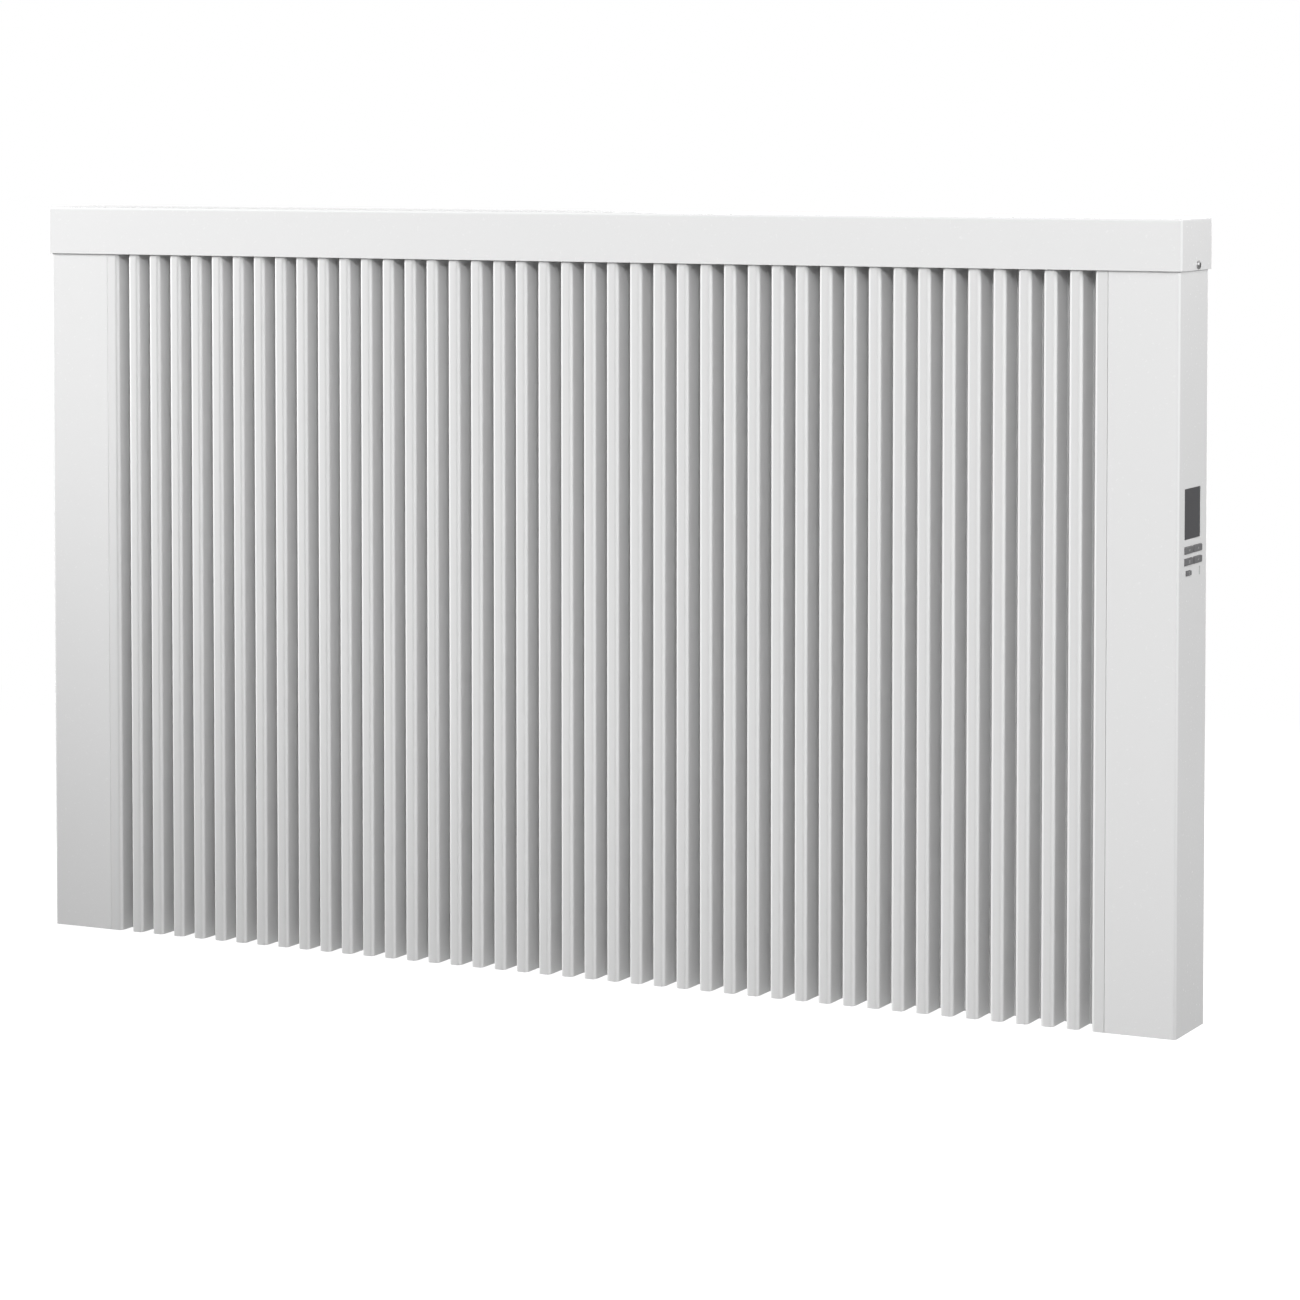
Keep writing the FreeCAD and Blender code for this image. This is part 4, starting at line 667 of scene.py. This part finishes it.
def cross(span, width):
    """Outline of a plus sign."""
    reach, half = span / 2, width / 2
    quarter = [(reach, -half), (reach, half), (half, half)]
    outline = []
    for _ in range(4):
        outline += quarter
        quarter = [(-y, x) for x, y in quarter]
    return outline


def screw_meshes(name, seats, detail):
    """Pan-head screws at (seat, outward) places, with their cross recesses cut."""
    shank = detail.shank_radius
    height = detail.head_height
    tip = -detail.screw_length
    head = [(detail.head_radius * across, height * up) for across, up in HEAD_SECTION]
    section = [(0, tip), (shank * TIP_SHARE, tip), (shank, tip + TIP_LENGTH), (shank, 0.0),
               *head, (0, height)]
    screws = bmesh.new()
    recesses = bmesh.new()
    for count, (seat, outward) in enumerate(seats):
        lathe(screws, section, detail.round_steps, seat_frame(seat, outward))
        floor = seat + outward * (height - detail.recess_depth)
        prism(recesses, cross(detail.recess_span, detail.recess_width), 2 * height,
              seat_frame(floor, outward, (count + FIRST_TURN) * detail.screw_twist))
    return to_mesh(f"{name}_solid", screws), to_mesh(f"{name}_recess", recesses)


class HEATER_OT_fasteners(bpy.types.Operator):
    """Make the screws with driver recesses and plate the nuts"""
    bl_idname = "heater.fasteners"
    bl_label = "Screws and nuts"

    def execute(self, context):
        detail = context.scene.heater_detail
        zinc = plated_steel("screw_zinc", tuple(context.scene.heater_finish.screw_zinc))
        low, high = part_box("cap_screws")
        middle = (low + high) / 2
        reach = high.x - detail.head_height
        cap_seats = [(Vector((side * reach, middle.y, middle.z)), Vector((side, 0, 0)))
                     for side in (-1, 1)]
        self.make("cap_screw_heads", "cap_screws", cap_seats, zinc, detail)
        low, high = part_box("casing_screws")
        edge = detail.head_radius
        rear = high.y - detail.head_height
        levels = (low.z + edge, (low.z + high.z) / 2, high.z - edge)
        casing_seats = [(Vector((side * (high.x - edge), rear, level)), Vector((0, 1, 0)))
                        for side in (-1, 1) for level in levels]
        self.make("casing_screw_heads", "casing_screws", casing_seats, zinc, detail)
        finish_nodes(zinc, ["cap_nuts", "controller_nuts"])
        return {"FINISHED"}

    def make(self, name, node, seats, material, detail):
        """Make screws at their seats in place of a plain CAD node."""
        solid, recess = screw_meshes(name, seats, detail)
        mesh = carve(name, solid, recess)
        mesh.materials.clear()
        screws = add_piece(name, mesh, material)
        soften(screws)
        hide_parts(node)


def sign_outlines(key, size):
    """Outlines of a key's sign, as wide as its size."""
    outlines = [bar(size * length, size * SIGN_STROKE, (size * x, size * y), math.radians(turn))
                for length, (x, y), turn in KEY_SIGNS[key]]
    if key == RING_KEY:
        arc = [math.radians(angle) for angle in RING_ANGLES]
        rims = [[(size * share * math.cos(turn), size * share * math.sin(turn)) for turn in arc]
                for share in (RING_OUTER, RING_INNER)]
        outlines.append(rims[0] + rims[1][::-1])
    return outlines


class HEATER_OT_key_marks(bpy.types.Operator):
    """Raise a plain sign on each key"""
    bl_idname = "heater.key_marks"
    bl_label = "Key signs"

    def execute(self, context):
        detail = context.scene.heater_detail
        ink = moulded_plastic("key_print", tuple(context.scene.heater_finish.mark_grey), 0.5,
                              2200.0, 0.00001)
        quarter = math.pi / 2
        upright = Matrix.Rotation(quarter, 4, "Z") @ Matrix.Rotation(quarter, 4, "X")
        for key in KEY_SIGNS:
            low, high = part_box(key)
            middle = (low + high) / 2
            face = Matrix.Translation((high.x - detail.mark_sink, middle.y, middle.z))
            bm = bmesh.new()
            for outline in sign_outlines(key, detail.mark_size):
                prism(bm, outline, detail.mark_sink + detail.mark_height, face @ upright)
            name = f"{key}_sign"
            add_piece(name, to_mesh(name, bm), ink, f"{key}_body")
        return {"FINISHED"}


# ---------------------------------------------------------------- operator: stage

class HEATER_OT_stage(bpy.types.Operator):
    """Set up the camera, the even light, the lamps and the floor"""
    bl_idname = "heater.stage"
    bl_label = "Stage"

    def execute(self, context):
        stage = context.scene.heater_stage
        self.make_camera(context, stage)
        self.make_world(context, stage)
        powers = {"front_beam": stage.front_power, "left_beam": stage.left_power,
                  "side_beam": stage.side_power}
        for name, (place, target, half_angle, blend) in BEAMS.items():
            self.make_beam(name, powers[name], place, target, math.radians(half_angle), blend)
        self.make_lamp("rear_lamp", stage.rear_power, REAR_LAMP_SIZE, REAR_LAMP_PLACE,
                       REAR_LAMP_TARGET)
        self.make_floor(stage)
        return {"FINISHED"}

    def make_camera(self, context, stage):
        data = bpy.data.cameras.new("camera")
        data.lens = stage.lens
        data.sensor_width = SENSOR_WIDTH
        data.shift_y = stage.rise
        camera = bpy.data.objects.new("camera", data)
        camera.location = stage.eye
        camera.rotation_euler = (math.pi / 2 - stage.dip, 0.0, stage.turn)
        context.collection.objects.link(camera)
        context.scene.camera = camera

    def make_world(self, context, stage):
        """An even light on the heater, behind which the eye and reflections find white."""
        world = bpy.data.worlds.new("even_light")
        world.use_nodes = True
        world.node_tree.nodes.clear()
        nodes = NodeMaker(world.node_tree)
        rays = nodes.node("ShaderNodeLightPath")
        camera, glossy, through = (
            Wire(nodes, rays.outputs[kind])
            for kind in ("Is Camera Ray", "Is Glossy Ray", "Is Transmission Ray"))
        light = nodes.add("ShaderNodeBackground", {}, {"Color": SKY_TONE, "Strength": stage.sky})
        white = nodes.add("ShaderNodeBackground", {}, {"Color": WHITE, "Strength": 1.0})
        shown = nodes.mixed(camera.larger(glossy).larger(through), light, white)
        nodes.node("ShaderNodeOutputWorld", {}, {"Surface": shown})
        context.scene.world = world
        context.scene.view_settings.view_transform = "Standard"

    def hang(self, name, data, spot, target):
        """Hang a light at a spot and aim it at a target."""
        lamp = bpy.data.objects.new(name, data)
        lamp.location = spot
        aim = Vector(target) - Vector(spot)
        lamp.rotation_euler = aim.to_track_quat("-Z", "Y").to_euler()
        bpy.context.collection.objects.link(lamp)

    def make_lamp(self, name, power, size, spot, target):
        """A square lamp."""
        data = bpy.data.lights.new(name, "AREA")
        data.energy = power
        data.shape = "SQUARE"
        data.size = size
        self.hang(name, data, spot, target)

    def make_beam(self, name, power, spot, target, half_angle, blend):
        """A wide soft beam that fades towards its edge."""
        data = bpy.data.lights.new(name, "SPOT")
        data.energy = power
        data.spot_size = 2 * half_angle
        data.spot_blend = blend
        data.shadow_soft_size = BEAM_RADIUS
        self.hang(name, data, spot, target)

    def make_floor(self, stage):
        """A pale floor, white to the eye far away, that takes the heater's shadow near it."""
        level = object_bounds()[0].z - stage.floor_gap
        half = stage.floor_size / 2
        bm = bmesh.new()
        bmesh.ops.create_grid(bm, x_segments=FLOOR_STEPS, y_segments=FLOOR_STEPS, size=half,
                              matrix=Matrix.Translation((0.0, 0.0, level)))
        mesh = to_mesh("floor", bm)
        floor = bpy.data.objects.new("floor", mesh)
        bpy.context.collection.objects.link(floor)
        paint = Shader("floor_white", roughness=1.0)
        speck = paint.noise(3.0, detail=4.0)
        paint.colour(paint.blend(speck, *FLOOR_TONES))
        rays = paint.add("ShaderNodeLightPath", output="Is Camera Ray")
        reach = paint.add("ShaderNodeVectorMath", {"operation": "LENGTH"},
                          {0: paint.place()}, "Value")
        far = paint.add("ShaderNodeMapRange", {"interpolation_type": "SMOOTHSTEP"}, {
            "Value": reach, "From Min": stage.floor_near, "From Max": stage.floor_far})
        lit = Wire(paint, paint.surface.outputs[0])
        near = paint.mixed(0.5, lit, paint.glow(stage.floor_glow))
        seen = paint.mixed(far, near, paint.glow(1.0))
        output = paint.tree.nodes["Material Output"]
        paint.feed(output.inputs["Surface"], paint.mixed(rays, lit, seen))
        mesh.materials.append(paint.material)
        floor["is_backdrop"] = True


class HEATER_PT_panel(bpy.types.Panel):
    """The heater's pieces, in the 3D view's sidebar"""
    bl_label = "Heater"
    bl_idname = "HEATER_PT_panel"
    bl_space_type = "VIEW_3D"
    bl_region_type = "UI"
    bl_category = "Heater"

    def draw(self, context):
        for operator in OPERATORS:
            self.layout.operator(operator.bl_idname)


GROUPS = (HeaterFinish, HeaterDetail, HeaterStage)
OPERATORS = (HEATER_OT_stage, HEATER_OT_enamel, HEATER_OT_sheet_metal, HEATER_OT_core,
             HEATER_OT_controller, HEATER_OT_fasteners, HEATER_OT_key_marks)


def register():
    for item in (*GROUPS, *OPERATORS, HEATER_PT_panel):
        bpy.utils.register_class(item)
    bpy.types.Scene.heater_finish = PointerProperty(type=HeaterFinish)
    bpy.types.Scene.heater_detail = PointerProperty(type=HeaterDetail)
    bpy.types.Scene.heater_stage = PointerProperty(type=HeaterStage)


def unregister():
    del bpy.types.Scene.heater_stage
    del bpy.types.Scene.heater_detail
    del bpy.types.Scene.heater_finish
    for item in reversed((*GROUPS, *OPERATORS, HEATER_PT_panel)):
        bpy.utils.unregister_class(item)


def main():
    register()
    bpy.ops.heater.stage()
    bpy.ops.heater.enamel()
    bpy.ops.heater.sheet_metal()
    bpy.ops.heater.core()
    bpy.ops.heater.controller()
    bpy.ops.heater.fasteners()
    bpy.ops.heater.key_marks()


if __name__ == "__main__":
    main()
